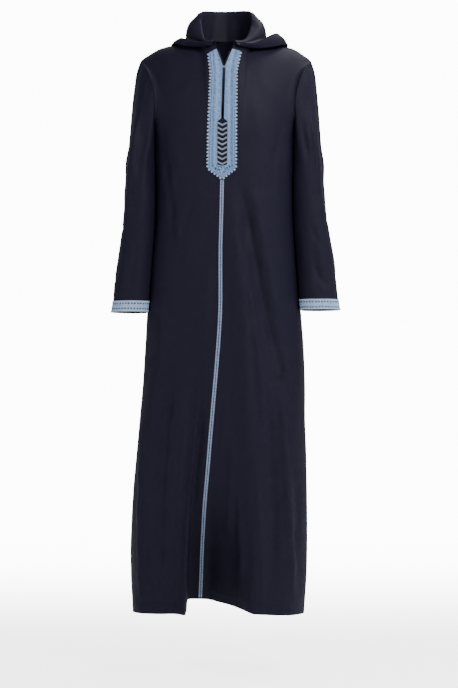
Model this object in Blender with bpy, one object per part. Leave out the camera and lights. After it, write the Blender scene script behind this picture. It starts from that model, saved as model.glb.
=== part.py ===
# Hooded ankle-length robe in its worn, hollow form: front, back, set-in sleeves and a hood worn down,
# with an embroidered slit panel, a double braid down the centre front and trimmed cuffs.
# Metres, +Z up. The robe faces -Y, +X is the side seen on the right from the front.
# The origin lies between the shoulders at the base of the neck, where the wearer holds the robe up.

import math

import bmesh
import bpy
import numpy as np

# Driving dimensions
CLOTH = 0.0014            # thickness of the cloth
SEAM = 0.0002             # each piece stops this far short of its seam line
LAID = 0.0003             # clear height under what lies on a panel
CHEST_Z = -0.26           # the level below the armholes where the sections start
V_BOTTOM_Z = -0.061       # where the neck's V meets the slit
SLIT_END_Z = -0.190       # lower end of the slit
SLIT_CLOSING = 0.0045      # height in which the slit closes
SLIT_HALF = 0.0027        # half of the slit's width between the cloth edges
SECTION_POWER = 0.85      # below 1 a section is squarer than an ellipse
TURN_STEP = 0.02          # turn to either side over which a section's direction is measured
HEM_LEVEL = -1.37         # no fold is measured from below this level
NECK_STEPS, SHOULDER_STEPS, ARMHOLE_STEPS = 4, 7, 6
BACK_NECK_STEPS = 3       # columns from the nape to the side of the neck
SKIRT_ROWS = 12
SLEEVE_CLEAR = 0.003      # between a hanging sleeve and the side of the body
SLEEVE_LAP = 0.010        # how far the sleeve would reach past that side, which presses it flat
TRIM_THICK = 0.0018
TRIM_SECTION = ((0.0, 0.0013), (0.16, TRIM_THICK), (0.34, 0.0012), (0.66, 0.0012), (0.84, TRIM_THICK),
                (1.0, 0.0013))
PANEL_THICK = 0.0015
TOOTH_PITCH, TOOTH_DEEP = 0.0083, 0.005
CHEVRONS, CHEVRON_PITCH = 9, 0.0114
BRAID_HALF = 0.0058
BRAID_SECTION = ((-1.0, 0.0006), (-0.55, 0.0019), (0.0, 0.0009), (0.55, 0.0019), (1.0, 0.0006))
BRAID_CLEAR = 0.0022      # from the point of the embroidered panel down to the braid
BRAID_LAID = 0.0009       # clear height under the braid, which bridges the turns of the cloth
PIPING_RADIUS, PIPING_LIFT = 0.00095, 0.0004
PIPING_START = 0.18       # share of the first row that the piping leaves free at the neckline

# Level sections of body and skirt: level, half width on each side, depth to front and to back
SECTIONS = (
    # z, left, right, front, back
    (-0.26, 0.1725, 0.1640, 0.122, 0.116),
    (-0.35, 0.1700, 0.1615, 0.125, 0.111),
    (-0.42, 0.1710, 0.1635, 0.127, 0.110),
    (-0.50, 0.1785, 0.1690, 0.130, 0.120),
    (-0.58, 0.1850, 0.1755, 0.132, 0.131),
    (-0.66, 0.1905, 0.1820, 0.134, 0.134),
    (-0.75, 0.1950, 0.1880, 0.136, 0.131),
    (-0.90, 0.2080, 0.1910, 0.139, 0.131),
    (-1.05, 0.2210, 0.1940, 0.143, 0.137),
    (-1.20, 0.2290, 0.1950, 0.147, 0.146),
    (-1.30, 0.2270, 0.1930, 0.150, 0.152),
    (-1.37, 0.2220, 0.1870, 0.152, 0.155),
)

# The centre front line, which the braid follows
CENTRE_FRONT = (
    # z, x
    (0.00, -0.0034), (-0.061, -0.0045), (-0.19, -0.0080), (-0.333, -0.0091), (-0.50, -0.0126),
    (-0.65, -0.0138), (-0.77, -0.0222), (-0.87, -0.0310), (-1.00, -0.0422), (-1.10, -0.0508),
    (-1.19, -0.0561), (-1.32, -0.0614),
)

# The top edge of a half front and a half back, in runs from the centre outwards, for the right side.
# lean is how far the cloth has already turned from lying flat on the shoulder, in degrees.
NECK_FRONT = (
    # along, x, y, z, lean
    (0.00, 0.0210, -0.078, -0.0105, 28), (0.35, 0.0370, -0.0665, -0.0030, 22),
    (0.70, 0.0540, -0.042, 0.0060, 12), (1.00, 0.0660, 0.003, 0.0120, 0),
)
SHOULDER = (
    (0.00, 0.0660, 0.003, 0.0120, 0), (0.40, 0.1180, 0.003, 0.0030, 0),
    (0.75, 0.1680, 0.003, -0.0100, 0), (1.00, 0.2045, 0.003, -0.0360, 0),
)
ARMHOLE_FRONT = (
    (0.00, 0.2045, 0.003, -0.0360, 0), (0.20, 0.1900, -0.037, -0.0570, 25),
    (0.45, 0.1735, -0.064, -0.1000, 52), (0.70, 0.1665, -0.067, -0.1520, 72),
    (0.88, 0.1675, -0.043, -0.2010, 82), (1.00, 0.1680, 0.000, -0.2220, 86),
)
ARMHOLE_BACK = (
    (0.00, 0.2045, 0.003, -0.0360, 0), (0.20, 0.1930, 0.039, -0.0580, 25),
    (0.45, 0.1810, 0.063, -0.1000, 52), (0.70, 0.1745, 0.069, -0.1520, 72),
    (0.88, 0.1695, 0.046, -0.2010, 82), (1.00, 0.1680, 0.000, -0.2220, 86),
)
NECK_BACK = (
    (0.00, 0.0660, 0.003, 0.0120, 0), (0.40, 0.0530, 0.045, 0.0175, 14),
    (0.75, 0.0260, 0.067, 0.0205, 22), (1.00, 0.0000, 0.073, 0.0210, 24),
)
NECK_SHIFT = -0.0034                            # the neck opening sits a little off centre
ARMHOLE_WIDER = {"left": 0.0045, "right": -0.0045}

# How far round from the centre front each column of a half front runs, 1 being the side seam
NECK_COLUMNS = {"left": (0.0, 0.045, 0.088, 0.105), "right": (0.0, 0.045, 0.088, 0.130)}
SIDE_NECK_COLUMN = 0.17
SHOULDER_TIP_COLUMN = 0.52
ARMHOLE_COLUMNS = (0.575, 0.63, 0.685, 0.74, 0.86, 1.0)

# Level of the hem, and how much of the recess between the legs a column takes, by place on the half front
HEM_FRONT = {
    # column, z, recess
    "left": ((0.0, -1.3235, 1.0), (0.088, -1.3240, 1.0), (0.105, -1.3430, 0.0), (0.40, -1.3460, 0.0),
             (0.80, -1.3500, 0.0), (1.0, -1.3570, 0.0)),
    "right": ((0.0, -1.3235, 1.0), (0.055, -1.3245, 1.0), (0.155, -1.3320, 0.55), (0.28, -1.3430, 0.06),
              (0.45, -1.3470, 0.0), (1.0, -1.3570, 0.0)),
}
HEM_BACK_SIDE_Z, HEM_BACK_CENTRE_Z = -1.357, -1.333
# Depth of that recess, where the skirt falls back between the legs
RECESS = ((-0.80, 0.0), (-0.95, 0.016), (-1.10, 0.044), (-1.22, 0.088), (-1.3235, 0.122), (-1.37, 0.124))

# The largest folds of body and skirt. height is outwards, and a valley has a negative one.
FOLDS_FRONT = (
    # z_top, z_low, x_top, x_mid, x_low, width, height
    (-0.30, -0.86, 0.022, 0.079, 0.142, 0.018, -0.0060),   # crease from the panel to the right hip
    (-0.34, -1.60, 0.002, 0.047, 0.053, 0.022, 0.0070),    # ridge right of the braid
    (-0.66, -1.60, 0.172, 0.148, 0.144, 0.020, 0.0065),    # ridge over the right leg
    (-0.60, -1.60, -0.128, -0.186, -0.198, 0.022, 0.0075), # ridge over the left leg
    (-0.70, -1.60, -0.058, -0.100, -0.130, 0.018, -0.0090),  # valley left of the braid
    (-1.00, -1.60, -0.060, -0.088, -0.092, 0.012, 0.0060),   # edge of the turned fold
    (-0.26, -0.62, -0.150, -0.110, -0.070, 0.020, 0.0040),   # drag from the left armhole
)
FOLDS_BACK = (
    (-0.40, -1.60, -0.060, -0.118, -0.140, 0.024, 0.0100),
    (-0.55, -1.60, -0.040, -0.048, -0.052, 0.022, -0.0080),
    (-0.36, -1.60, 0.010, 0.022, 0.026, 0.026, 0.0090),
    (-0.60, -1.60, 0.070, 0.082, 0.078, 0.020, -0.0080),
    (-0.42, -1.60, 0.090, 0.128, 0.136, 0.024, 0.0090),
)
FOLD_FADE = 0.14          # a fold rises to its full height over this distance

# Sleeves below the armhole
SLEEVE_ROWS = {
    # z, outer x, y of the middle, half depth
    "left": ((-0.275, 0.2385, -0.002, 0.073), (-0.335, 0.2420, -0.004, 0.070),
             (-0.395, 0.2460, -0.007, 0.067), (-0.455, 0.2520, -0.011, 0.064),
             (-0.515, 0.2600, -0.016, 0.060), (-0.570, 0.2670, -0.022, 0.056),
             (-0.6140, 0.2700, -0.028, 0.0530), (-0.6400, 0.2740, -0.031, 0.0525)),
    "right": ((-0.275, 0.2320, -0.002, 0.073), (-0.335, 0.2350, -0.004, 0.070),
              (-0.395, 0.2420, -0.007, 0.067), (-0.455, 0.2510, -0.011, 0.064),
              (-0.515, 0.2600, -0.016, 0.060), (-0.570, 0.2640, -0.022, 0.056),
              (-0.6100, 0.2680, -0.028, 0.0530), (-0.6345, 0.2720, -0.031, 0.0525)),
}
SLEEVE_HEAD = (0.0, 0.1, 0.28, 0.52, 0.76)   # shares of the way from the armhole to the first row above
SLEEVE_HEAD_FULL = 0.0065  # how far the sleeve head stands out on that way
CUFF_TILT = 0.0015        # the back of the cuff hangs this much lower than its middle
SLEEVE_POWER = 0.9        # below 1 a sleeve's ring is squarer than an ellipse
NEAR_BODY = 2.5           # how fast a sleeve's ring flattens on the side that lies against the body
FOLDS_SLEEVE = (
    # row_top, row_low, turn_top, turn_low, width, height; turn in degrees, 0 outside, 90 in front
    (1.2, 6.0, 128, 80, 17, -0.0070),
    (2.0, 8.5, 70, 38, 18, 0.0050),
    (7.0, 11.5, 120, 66, 18, -0.0045),
    (3.0, 10.0, 20, 12, 18, -0.0035),
    (2.0, 7.0, 235, 280, 20, -0.0060),
    (6.0, 11.5, 300, 250, 22, 0.0045),
)

# The hood, worn down. Its cloth stands up from the neckline to the crest, falls to the heel, runs out to
# the toe and rises to the rim. place counts neckline steps from the left corner of the V.
HOOD = (
    # place, crest x y z, heel x y z, toe x y z, rim x y z
    (0.0, (-0.0268, -0.0800, -0.0012), (-0.0315, -0.0845, -0.0085), (-0.0380, -0.0855, -0.0125),
     (-0.0365, -0.0895, -0.0050)),
    (2.0, (-0.0535, -0.0500, 0.0120), (-0.0610, -0.0480, 0.0020), (-0.0690, -0.0570, -0.0110),
     (-0.0740, -0.0665, 0.0005)),
    (3.0, (-0.0601, -0.0200, 0.0470), (-0.0820, -0.0270, 0.0090), (-0.1040, -0.0430, -0.0060),
     (-0.0985, -0.0520, 0.0095)),
    (4.0, (-0.0595, 0.0000, 0.0770), (-0.0960, 0.0020, 0.0110), (-0.1300, 0.0000, 0.0030),
     (-0.1120, -0.0110, 0.0170)),
    (5.0, (-0.0530, 0.0360, 0.0900), (-0.0960, 0.0550, -0.0160), (-0.1270, 0.0640, -0.0330),
     (-0.1230, 0.0560, 0.0110)),
    (6.0, (-0.0310, 0.0690, 0.0960), (-0.0700, 0.1080, -0.1320), (-0.0860, 0.1280, -0.1550),
     (-0.0880, 0.1290, 0.0060)),
    (7.0, (0.0000, 0.0830, 0.0980), (0.0000, 0.1290, -0.2720), (0.0000, 0.1480, -0.2900),
     (0.0000, 0.1610, 0.0140)),
    (8.0, (0.0310, 0.0690, 0.0960), (0.0700, 0.1080, -0.1320), (0.0860, 0.1280, -0.1550),
     (0.0900, 0.1290, 0.0080)),
    (9.0, (0.0540, 0.0380, 0.0900), (0.0980, 0.0550, -0.0160), (0.1330, 0.0640, -0.0330),
     (0.1300, 0.0560, 0.0170)),
    (10.0, (0.0617, 0.0030, 0.0770), (0.0940, 0.0020, 0.0115), (0.1480, 0.0000, 0.0015),
     (0.1270, -0.0080, 0.0270)),
    (11.0, (0.0610, -0.0150, 0.0460), (0.0800, -0.0270, 0.0090), (0.1200, -0.0420, -0.0070),
     (0.1110, -0.0440, 0.0215)),
    (12.0, (0.0500, -0.0470, 0.0130), (0.0600, -0.0480, 0.0020), (0.0800, -0.0600, -0.0145),
     (0.0750, -0.0700, -0.0010)),
    (14.0, (0.0200, -0.0800, -0.0015), (0.0247, -0.0845, -0.0090), (0.0340, -0.0855, -0.0130),
     (0.0320, -0.0895, -0.0055)),
)
FALL_FULL, FALL_FULL_SHARE = 0.013, 0.17   # how far the fall stands out, at most and for its height
FALL_MIDDLE = 0.42        # place of its fullest point on the way from crest to heel
FALL_LIFT = 0.25          # how far the fullest point is lifted, for what it stands out
RIM_FULL, RIM_FULL_REACH = 0.12, 0.05      # roundness of the rise from toe to rim
STAND_SHARES = (0.45, 0.8)                 # rows between the neckline and the crest
OVER_SHARE, OVER_FULL = 0.45, 0.15         # the row between crest and fullest point: place and fullness
UNDER_FULL = 0.2                           # fullness of the row half way from there to the heel
FOOT_SHARE = 0.6                           # place of the row between heel and toe

# Outline of the embroidered panel
PANEL_LEFT = (
    # z, x
    (-0.030, -0.0450), (-0.080, -0.0400), (-0.160, -0.0430), (-0.230, -0.0457), (-0.305, -0.0465),
)
PANEL_RIGHT = (
    (-0.026, 0.0385), (-0.075, 0.0285), (-0.160, 0.0278), (-0.230, 0.0275), (-0.305, 0.0270),
)
PANEL_EDGE_CLEAR = 0.0006  # between the panel and the cloth's edge along the slit
PANEL_TOP_INNER_Z = -0.0200
PANEL_TIP = (-0.0092, -0.3345)
WINDOW_TOP_Z, WINDOW_LOW_Z, WINDOW_HALF = -0.1935, -0.2990, 0.0117

CHEVRON_HALF, CHEVRON_RISE, CHEVRON_BAR = 0.0110, 0.0058, 0.0058
CHEVRON_TOP_CLEAR = 0.0022
LAID_COLUMNS = 7          # columns of each front that the laid pieces reach over
OUTLINE_NEAR, OUTLINE_FAR = -0.20, -0.02   # an outline cuts through between these two depths

COLOURS = {
    # sRGB, roughness
    "cloth": ((0.115, 0.115, 0.160), 0.62),
    "embroidery": ((0.590, 0.700, 0.830), 0.70),
    "braid": ((0.620, 0.730, 0.860), 0.65),
    "cuff": ((0.700, 0.780, 0.890), 0.70),
    "chevron": ((0.560, 0.600, 0.660), 0.55),
    "piping": ((0.070, 0.080, 0.150), 0.60),
}


def smooth_rows(table, at):
    """Read a table at any key: a smooth curve through its rows, flat beyond its ends."""
    rows = np.array(sorted(table), dtype=float)
    keys, values = rows[:, 0], rows[:, 1:]
    steps = np.diff(keys)
    rises = np.diff(values, axis=0) / steps[:, None]
    slopes = np.vstack([rises[:1], (rises[:-1] * steps[1:, None] + rises[1:] * steps[:-1, None])
                        / (steps[1:] + steps[:-1])[:, None], rises[-1:]])
    at = min(max(at, keys[0]), keys[-1])
    i = min(int(np.searchsorted(keys, at, side="right")) - 1, len(steps) - 1)
    s = (at - keys[i]) / steps[i]
    value = (values[i] * (1 + 2 * s) * (1 - s) ** 2 + values[i + 1] * s * s * (3 - 2 * s)
             + steps[i] * (slopes[i] * s * (1 - s) ** 2 + slopes[i + 1] * s * s * (s - 1)))
    return value


def straight_rows(table, at):
    """Read a table along straight lines between its rows."""
    rows = np.array(sorted(table), dtype=float)
    return np.array([np.interp(at, rows[:, 0], rows[:, k]) for k in range(1, rows.shape[1])])


def centre_front(z):
    return float(smooth_rows(CENTRE_FRONT, z)[0])


def eased(value):
    value = min(max(value, 0.0), 1.0)
    return value * value * (3 - 2 * value)


def signed_power(value, power):
    return math.copysign(abs(value) ** power, value)


def section_point(z, turn):
    """A point of the level section, with turn 0 at the right side, 90 degrees in front, 180 at the left."""
    left, right, front, back = smooth_rows(SECTIONS, z)
    across, along = math.cos(turn), math.sin(turn)
    x = signed_power(across, SECTION_POWER) * (right if across > 0 else left)
    y = -signed_power(along, SECTION_POWER) * (front if along > 0 else back)
    return np.array([x, y, z])


def section_outwards(z, turn):
    """The level direction straight out of the section."""
    along = section_point(z, turn + TURN_STEP) - section_point(z, turn - TURN_STEP)
    out = np.array([-along[1], along[0], 0.0])
    point = section_point(z, turn)
    out *= math.copysign(1.0, float(out @ point))
    return out / np.linalg.norm(out)


def turn_of_x(z, x):
    """The turn at which the front of the section has this x."""
    left, right = smooth_rows(SECTIONS, z)[:2]
    return math.acos(signed_power(x / (right if x > 0 else left), 1 / SECTION_POWER))


def fold_height(folds, x, z):
    """How far the folds lift the cloth at this place."""
    total = 0.0
    for z_top, z_low, x_top, x_mid, x_low, width, height in folds:
        hem = max(z_low, HEM_LEVEL)
        s = (z_top - z) / (z_top - hem)
        if s < 0 or s > 1:
            continue
        path = x_top * (1 - s) * (1 - 2 * s) + 4 * x_mid * s * (1 - s) + x_low * s * (2 * s - 1)
        ends = eased((z_top - z) / FOLD_FADE)
        if z_low > hem - 0.001:
            ends *= eased((z - z_low) / FOLD_FADE)
        total += height * ends * math.exp(-((x - path) / width) ** 2)
    return total


def skirt_point_front(side, column, down):
    """A point of a half front below the chest line, down 0 there and 1 at the hem."""
    hem, share = straight_rows(HEM_FRONT[side], column)
    z = CHEST_Z + (hem - CHEST_Z) * down
    start = turn_of_x(z, centre_front(z))
    turn = start + ((math.pi if side == "left" else 0.0) - start) * column
    point = section_point(z, turn)
    point += section_outwards(z, turn) * fold_height(FOLDS_FRONT, point[0], z)
    point[1] += float(smooth_rows(RECESS, z)[0]) * share
    return point


def skirt_point_back(turned, down):
    """A point of the back below the chest line, turned 0 at the left side seam and 1 at the right."""
    middle = math.sin(math.pi * turned)
    hem = HEM_BACK_SIDE_Z + (HEM_BACK_CENTRE_Z - HEM_BACK_SIDE_Z) * eased(middle)
    z = CHEST_Z + (hem - CHEST_Z) * down
    turn = math.pi * (1 + turned)
    point = section_point(z, turn)
    point += section_outwards(z, turn) * fold_height(FOLDS_BACK, point[0], z) * eased(3 * middle)
    return point


def lean_steps():
    """Turned shares of the rows above the chest line, with rows at the V's end and the slit's ends."""
    top_z, lean = NECK_FRONT[0][3], math.radians(NECK_FRONT[0][4])

    def share(z):
        cosine = math.cos(lean) * (1 - (z - top_z) / (CHEST_Z - top_z))
        return (math.acos(cosine) - lean) / (math.pi / 2 - lean)

    v_bottom, slit_end = share(V_BOTTOM_Z), share(SLIT_END_Z)
    slit_closed = share(SLIT_END_Z - SLIT_CLOSING)
    third = (slit_end - v_bottom) / 3
    return [0.0, v_bottom / 2, v_bottom, v_bottom + third, v_bottom + 2 * third, slit_end, slit_closed,
            (slit_closed + 1) / 2, 1.0]


LEAN_STEPS = lean_steps()
V_ROW, SLIT_ROW = 2, 5
YOKE_ROWS = len(LEAN_STEPS) - 1


def yoke_point(top, low, share, column):
    """Between the top edge and the chest line the cloth turns from lying flat to hanging plumb."""
    x, y, z, lean = top
    lean = math.radians(lean)
    turn = lean + (math.pi / 2 - lean) * share
    forward = (math.sin(turn) - math.sin(lean)) / (1 - math.sin(lean))
    down = (math.cos(lean) - math.cos(turn)) / math.cos(lean)
    inwards = down + (forward - down) * min(column / SIDE_NECK_COLUMN, 1.0)
    return np.array([x + (low[0] - x) * inwards, y + (low[1] - y) * forward, z + (low[2] - z) * down])


def top_edge(side, neck, armhole, neck_places):
    """Points and leans of a half's top edge, from the centre to the underarm."""
    sign = 1 if side == "right" else -1
    rows = []
    for along in neck_places:
        x, y, z, lean = smooth_rows(neck, along)
        rows.append((sign * x + NECK_SHIFT * (1 - along if neck is NECK_FRONT else 0.0), y, z, lean))
    for step in range(SHOULDER_STEPS + 1):
        x, y, z, lean = smooth_rows(SHOULDER, step / SHOULDER_STEPS)
        rows.append((sign * x, y, z, lean))
    for step in range(1, ARMHOLE_STEPS + 1):
        along = step / ARMHOLE_STEPS
        x, y, z, lean = smooth_rows(armhole, along)
        rows.append((sign * (x + ARMHOLE_WIDER[side] * along), y, z, lean))
    return rows


def front_columns(side):
    """Places of a half front's columns, and the neckline places where the first ones start."""
    shoulder = np.linspace(SIDE_NECK_COLUMN, SHOULDER_TIP_COLUMN, SHOULDER_STEPS + 1)
    columns = list(NECK_COLUMNS[side]) + list(shoulder) + list(ARMHOLE_COLUMNS)
    starts = [place / SIDE_NECK_COLUMN for place in NECK_COLUMNS[side]]
    return columns, starts


def front_grid(side):
    """The outer face of a half front: rows from the top edge to the hem, columns from the centre out."""
    sign = 1 if side == "right" else -1
    columns, starts = front_columns(side)
    tops = top_edge(side, NECK_FRONT, ARMHOLE_FRONT, starts)
    grid = np.zeros((YOKE_ROWS + SKIRT_ROWS + 1, len(columns), 3))
    for j, column in enumerate(columns):
        low = skirt_point_front(side, column, 0.0)
        for i, share in enumerate(LEAN_STEPS):
            grid[i, j] = yoke_point(tops[j], low, share, column)
        for i in range(1, SKIRT_ROWS + 1):
            grid[YOKE_ROWS + i, j] = skirt_point_front(side, column, i / SKIRT_ROWS)
    opened = grid[0, 0, 0] - centre_front(grid[0, 0, 2])
    for i in range(1, YOKE_ROWS + 1):
        middle = centre_front(grid[i, 0, 2])
        if i < V_ROW:
            shift = sign * SLIT_HALF + (opened - sign * SLIT_HALF) * (1 - i / V_ROW)
        elif i <= SLIT_ROW:
            shift = sign * SLIT_HALF
        else:
            shift = 0.0
        grid[i, 0, 0] = middle + shift
    return grid


def back_grid():
    """The outer face of the back: columns from the left side seam to the right one."""
    halves = []
    neck_places = [1 - step / BACK_NECK_STEPS for step in range(BACK_NECK_STEPS)]
    for side in ("left", "right"):
        tops = top_edge(side, NECK_BACK, ARMHOLE_BACK, neck_places)
        neck = np.linspace(0, SIDE_NECK_COLUMN, BACK_NECK_STEPS + 1)[:-1]
        shoulder = np.linspace(SIDE_NECK_COLUMN, SHOULDER_TIP_COLUMN, SHOULDER_STEPS + 1)
        places = np.concatenate([neck, shoulder, ARMHOLE_COLUMNS])
        half = np.zeros((YOKE_ROWS + SKIRT_ROWS + 1, len(places), 3))
        for j, place in enumerate(places):
            turned = 0.5 - place / 2 if side == "left" else 0.5 + place / 2
            low = skirt_point_back(turned, 0.0)
            for i, share in enumerate(LEAN_STEPS):
                half[i, j] = yoke_point(tops[j], low, share, place)
            for i in range(1, SKIRT_ROWS + 1):
                half[YOKE_ROWS + i, j] = skirt_point_back(turned, i / SKIRT_ROWS)
        halves.append(half)
    return np.concatenate([halves[0][:, ::-1], halves[1][:, 1:]], axis=1)


def with_midpoints(points, closed):
    """The points with one more half way along each straight between them."""
    after = np.roll(points, -1, axis=0) if closed else points[1:]
    middles = (points[:len(after)] + after) / 2
    mixed = np.empty((len(points) + len(after), points.shape[1]))
    mixed[0::2] = points
    mixed[1::2] = middles
    return mixed


def armhole_loop(side, front, back):
    """The armhole's points from the shoulder tip down the front to the underarm and up the back."""
    first = NECK_STEPS + SHOULDER_STEPS
    down = front[0, first:]
    across = back[0] if side == "right" else back[0][::-1]
    up = across[-1 - ARMHOLE_STEPS:][::-1]
    return np.vstack([down, up[1:-1]])


def sleeve_fold(row, turn):
    total = 0.0
    for row_top, row_low, turn_top, turn_low, width, height in FOLDS_SLEEVE:
        s = (row - row_top) / (row_low - row_top)
        if 0 < s < 1:
            away = (turn - (turn_top + (turn_low - turn_top) * s) + 180) % 360 - 180
            total += height * math.sin(math.pi * s) * math.exp(-(away / width) ** 2)
    return total


def side_of_body(side, z, y):
    """How far out the body's section reaches at this depth."""
    left, right, front, back = smooth_rows(SECTIONS, z)
    along = min(abs(y) / (front if y < 0 else back), 1.0) ** (1 / SECTION_POWER)
    return (left if side == "left" else right) * (1 - along * along) ** (SECTION_POWER / 2)


def sleeve_grid(side, front, back):
    """The outer face of a sleeve: rings from the armhole to the cuff edge."""
    sign = 1 if side == "right" else -1
    loop = with_midpoints(armhole_loop(side, front, back), closed=True)
    around = len(loop)
    turns = [2 * math.pi * k / around for k in range(around)]
    rings = []
    rows = SLEEVE_ROWS[side]
    for number, (z, outer, middle_y, deep) in enumerate(rows):
        body = smooth_rows(SECTIONS, z)[0 if side == "left" else 1]
        inner = body - SLEEVE_LAP
        middle_x, half = (outer + inner) / 2, (outer - inner) / 2
        tilt = CUFF_TILT * eased(number / (len(rows) - 1))
        ring = []
        for turn in turns:
            lift = sleeve_fold(number + len(SLEEVE_HEAD), math.degrees(turn))
            towards_body = eased(-NEAR_BODY * math.cos(turn))
            lift *= 1 - towards_body
            across = math.cos(turn)
            along = signed_power(math.sin(turn), SLEEVE_POWER)
            y = middle_y - (deep + lift) * along
            x = max(middle_x + (half + lift) * across, side_of_body(side, z, y) + SLEEVE_CLEAR)
            ring.append((sign * x, y, z + tilt * math.sin(turn)))
        rings.append(ring)
    first = np.array(rings[0])
    head = []
    for number, share in enumerate(SLEEVE_HEAD):
        ring = loop + (first - loop) * share
        for k, turn in enumerate(turns):
            full = SLEEVE_HEAD_FULL * math.sin(math.pi * math.sqrt(share)) * max(0.0, math.cos(turn))
            lift = sleeve_fold(number, math.degrees(turn)) * (1 - eased(-NEAR_BODY * math.cos(turn)))
            ring[k] += np.array([sign * (full + lift * math.cos(turn)), -lift * math.sin(turn), 0.0])
        head.append(ring)
    return np.array(head + [np.array(ring) for ring in rings])


def hood_grid(front_left, front_right, back):
    """The side of the hood's cloth that faces away from the neck, rows from the neckline to the rim."""
    back_first = ARMHOLE_STEPS + SHOULDER_STEPS
    neck = np.vstack([front_left[0, :NECK_STEPS + 1],
                      back[0, back_first + 1:back_first + 2 * BACK_NECK_STEPS],
                      front_right[0, :NECK_STEPS + 1][::-1]])
    seam = with_midpoints(neck, closed=False)
    table = [(row[0],) + tuple(value for point in row[1:] for value in point) for row in HOOD]
    columns = []
    for k, start in enumerate(seam):
        crest, heel, toe, rim = smooth_rows(table, k / 2).reshape(4, 3)
        out = toe - crest
        out[2] = 0.0
        out /= np.linalg.norm(out)
        full = min(FALL_FULL_SHARE * np.linalg.norm(heel - crest), FALL_FULL)
        fall = crest + (heel - crest) * FALL_MIDDLE + out * full
        fall[2] += FALL_LIFT * full
        rise = (toe + rim) / 2 + out * RIM_FULL * min(np.linalg.norm(rim - toe), RIM_FULL_REACH)
        stand = [start + (crest - start) * share for share in STAND_SHARES]
        over = crest + (fall - crest) * OVER_SHARE + out * OVER_FULL * full
        under = (fall + heel) / 2 + out * UNDER_FULL * full
        foot = heel + (toe - heel) * FOOT_SHARE
        columns.append([start] + stand + [crest, over, fall, under, heel, foot, toe, (toe + rise) / 2,
                                          rise, rim])
    return np.array(columns).transpose(1, 0, 2)


def face_normals(grid, closed, outward):
    """Sum of the neighbouring faces' directions at each point of a grid; outward is 1 or -1."""
    rows, columns = grid.shape[:2]
    total = np.zeros_like(grid)
    for i in range(rows - 1):
        for j in range(columns if closed else columns - 1):
            k = (j + 1) % columns
            one, two = grid[i + 1, k] - grid[i, j], grid[i + 1, j] - grid[i, k]
            area = np.cross(one, two) * outward
            for a, b in ((i, j), (i, k), (i + 1, j), (i + 1, k)):
                total[a, b] += area
    return total


def shared_normals(sheets):
    """Directions out of the cloth, the same on both sides of every seam.

    The fronts and the back count as one cloth, so body and sleeve weigh the same at the armhole."""
    tubes = {}
    for name, (grid, closed, outward) in sheets.items():
        tube = tubes.setdefault("body" if name.startswith(("front", "back")) else name, {})
        for place, area in zip(grid.reshape(-1, 3), face_normals(grid, closed, outward).reshape(-1, 3)):
            key = tuple(np.round(place, 6))
            tube[key] = tube.get(key, 0) + area
    normals = {}
    for name, (grid, closed, outward) in sheets.items():
        keys = [tuple(np.round(place, 6)) for place in grid.reshape(-1, 3)]
        flat = [sum(unit(tube[key]) for tube in tubes.values() if key in tube) for key in keys]
        normals[name] = unit(np.array(flat)).reshape(grid.shape)
    for name in ("sleeve_left", "sleeve_right", "hood"):
        seam = normals[name][0]
        after = np.array([seam[(2 * k + 2) % len(seam)] for k in range(len(seam[1::2]))])
        seam[1::2] = unit(seam[0::2][:len(after)] + after)
    return normals


def unit(vectors):
    return vectors / np.linalg.norm(vectors, axis=-1)[..., None]


def drawn_in(grid, top=slice(0, 0), first_column=False, last_column=False):
    """The grid with the edges that lie on a plain seam drawn in by the seam's clearance."""
    drawn = grid.copy()
    if first_column:
        drawn[:, 0] += SEAM * unit(grid[:, 1] - grid[:, 0])
    if last_column:
        drawn[:, -1] += SEAM * unit(grid[:, -2] - grid[:, -1])
    drawn[0, top] += SEAM * unit(grid[1, top] - grid[0, top])
    return drawn


def armhole_parting(side, front, back, sleeve, sleeve_normals):
    """At each point of the armhole, the step that parts the sleeve from the body."""
    loop = armhole_loop(side, front, back)
    along = unit(np.roll(loop, -1, axis=0) - np.roll(loop, 1, axis=0))
    parting = unit(np.cross(sleeve_normals[0][::2], along))
    body_next = armhole_loop(side, front[1:], back[1:])
    towards_sleeve = np.sum(parting * (sleeve[1][::2] - body_next), axis=1)
    return SEAM * parting * np.sign(towards_sleeve)[:, None]


def part_armhole(side, front, back, sleeve, parting):
    """Move body and sleeve apart along the armhole seam."""
    first = NECK_STEPS + SHOULDER_STEPS
    front[0, first:] -= parting[:ARMHOLE_STEPS + 1]
    up = np.vstack([parting[ARMHOLE_STEPS:], parting[:1]])
    if side == "right":
        back[0, -1 - ARMHOLE_STEPS:] -= up[::-1]
    else:
        back[0, :ARMHOLE_STEPS + 1] -= up
    sleeve[0] += with_midpoints(parting, closed=True)


def colour_material(name, kind):
    """A plain finish in the piece's own colour."""
    colour, roughness = COLOURS[kind]
    linear = [((c + 0.055) / 1.055) ** 2.4 if c > 0.04045 else c / 12.92 for c in colour]
    material = bpy.data.materials.new(name)
    material.use_nodes = True
    shader = material.node_tree.nodes["Principled BSDF"]
    shader.inputs["Base Color"].default_value = (*linear, 1.0)
    shader.inputs["Roughness"].default_value = roughness
    shader.inputs["Metallic"].default_value = 0.0
    material.diffuse_color = (*linear, 1.0)
    return material


def add_object(name, mesh, kind):
    mesh.materials.append(colour_material(name, kind))
    piece = bpy.data.objects.new(name, mesh)
    bpy.context.scene.collection.objects.link(piece)
    return piece


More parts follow.
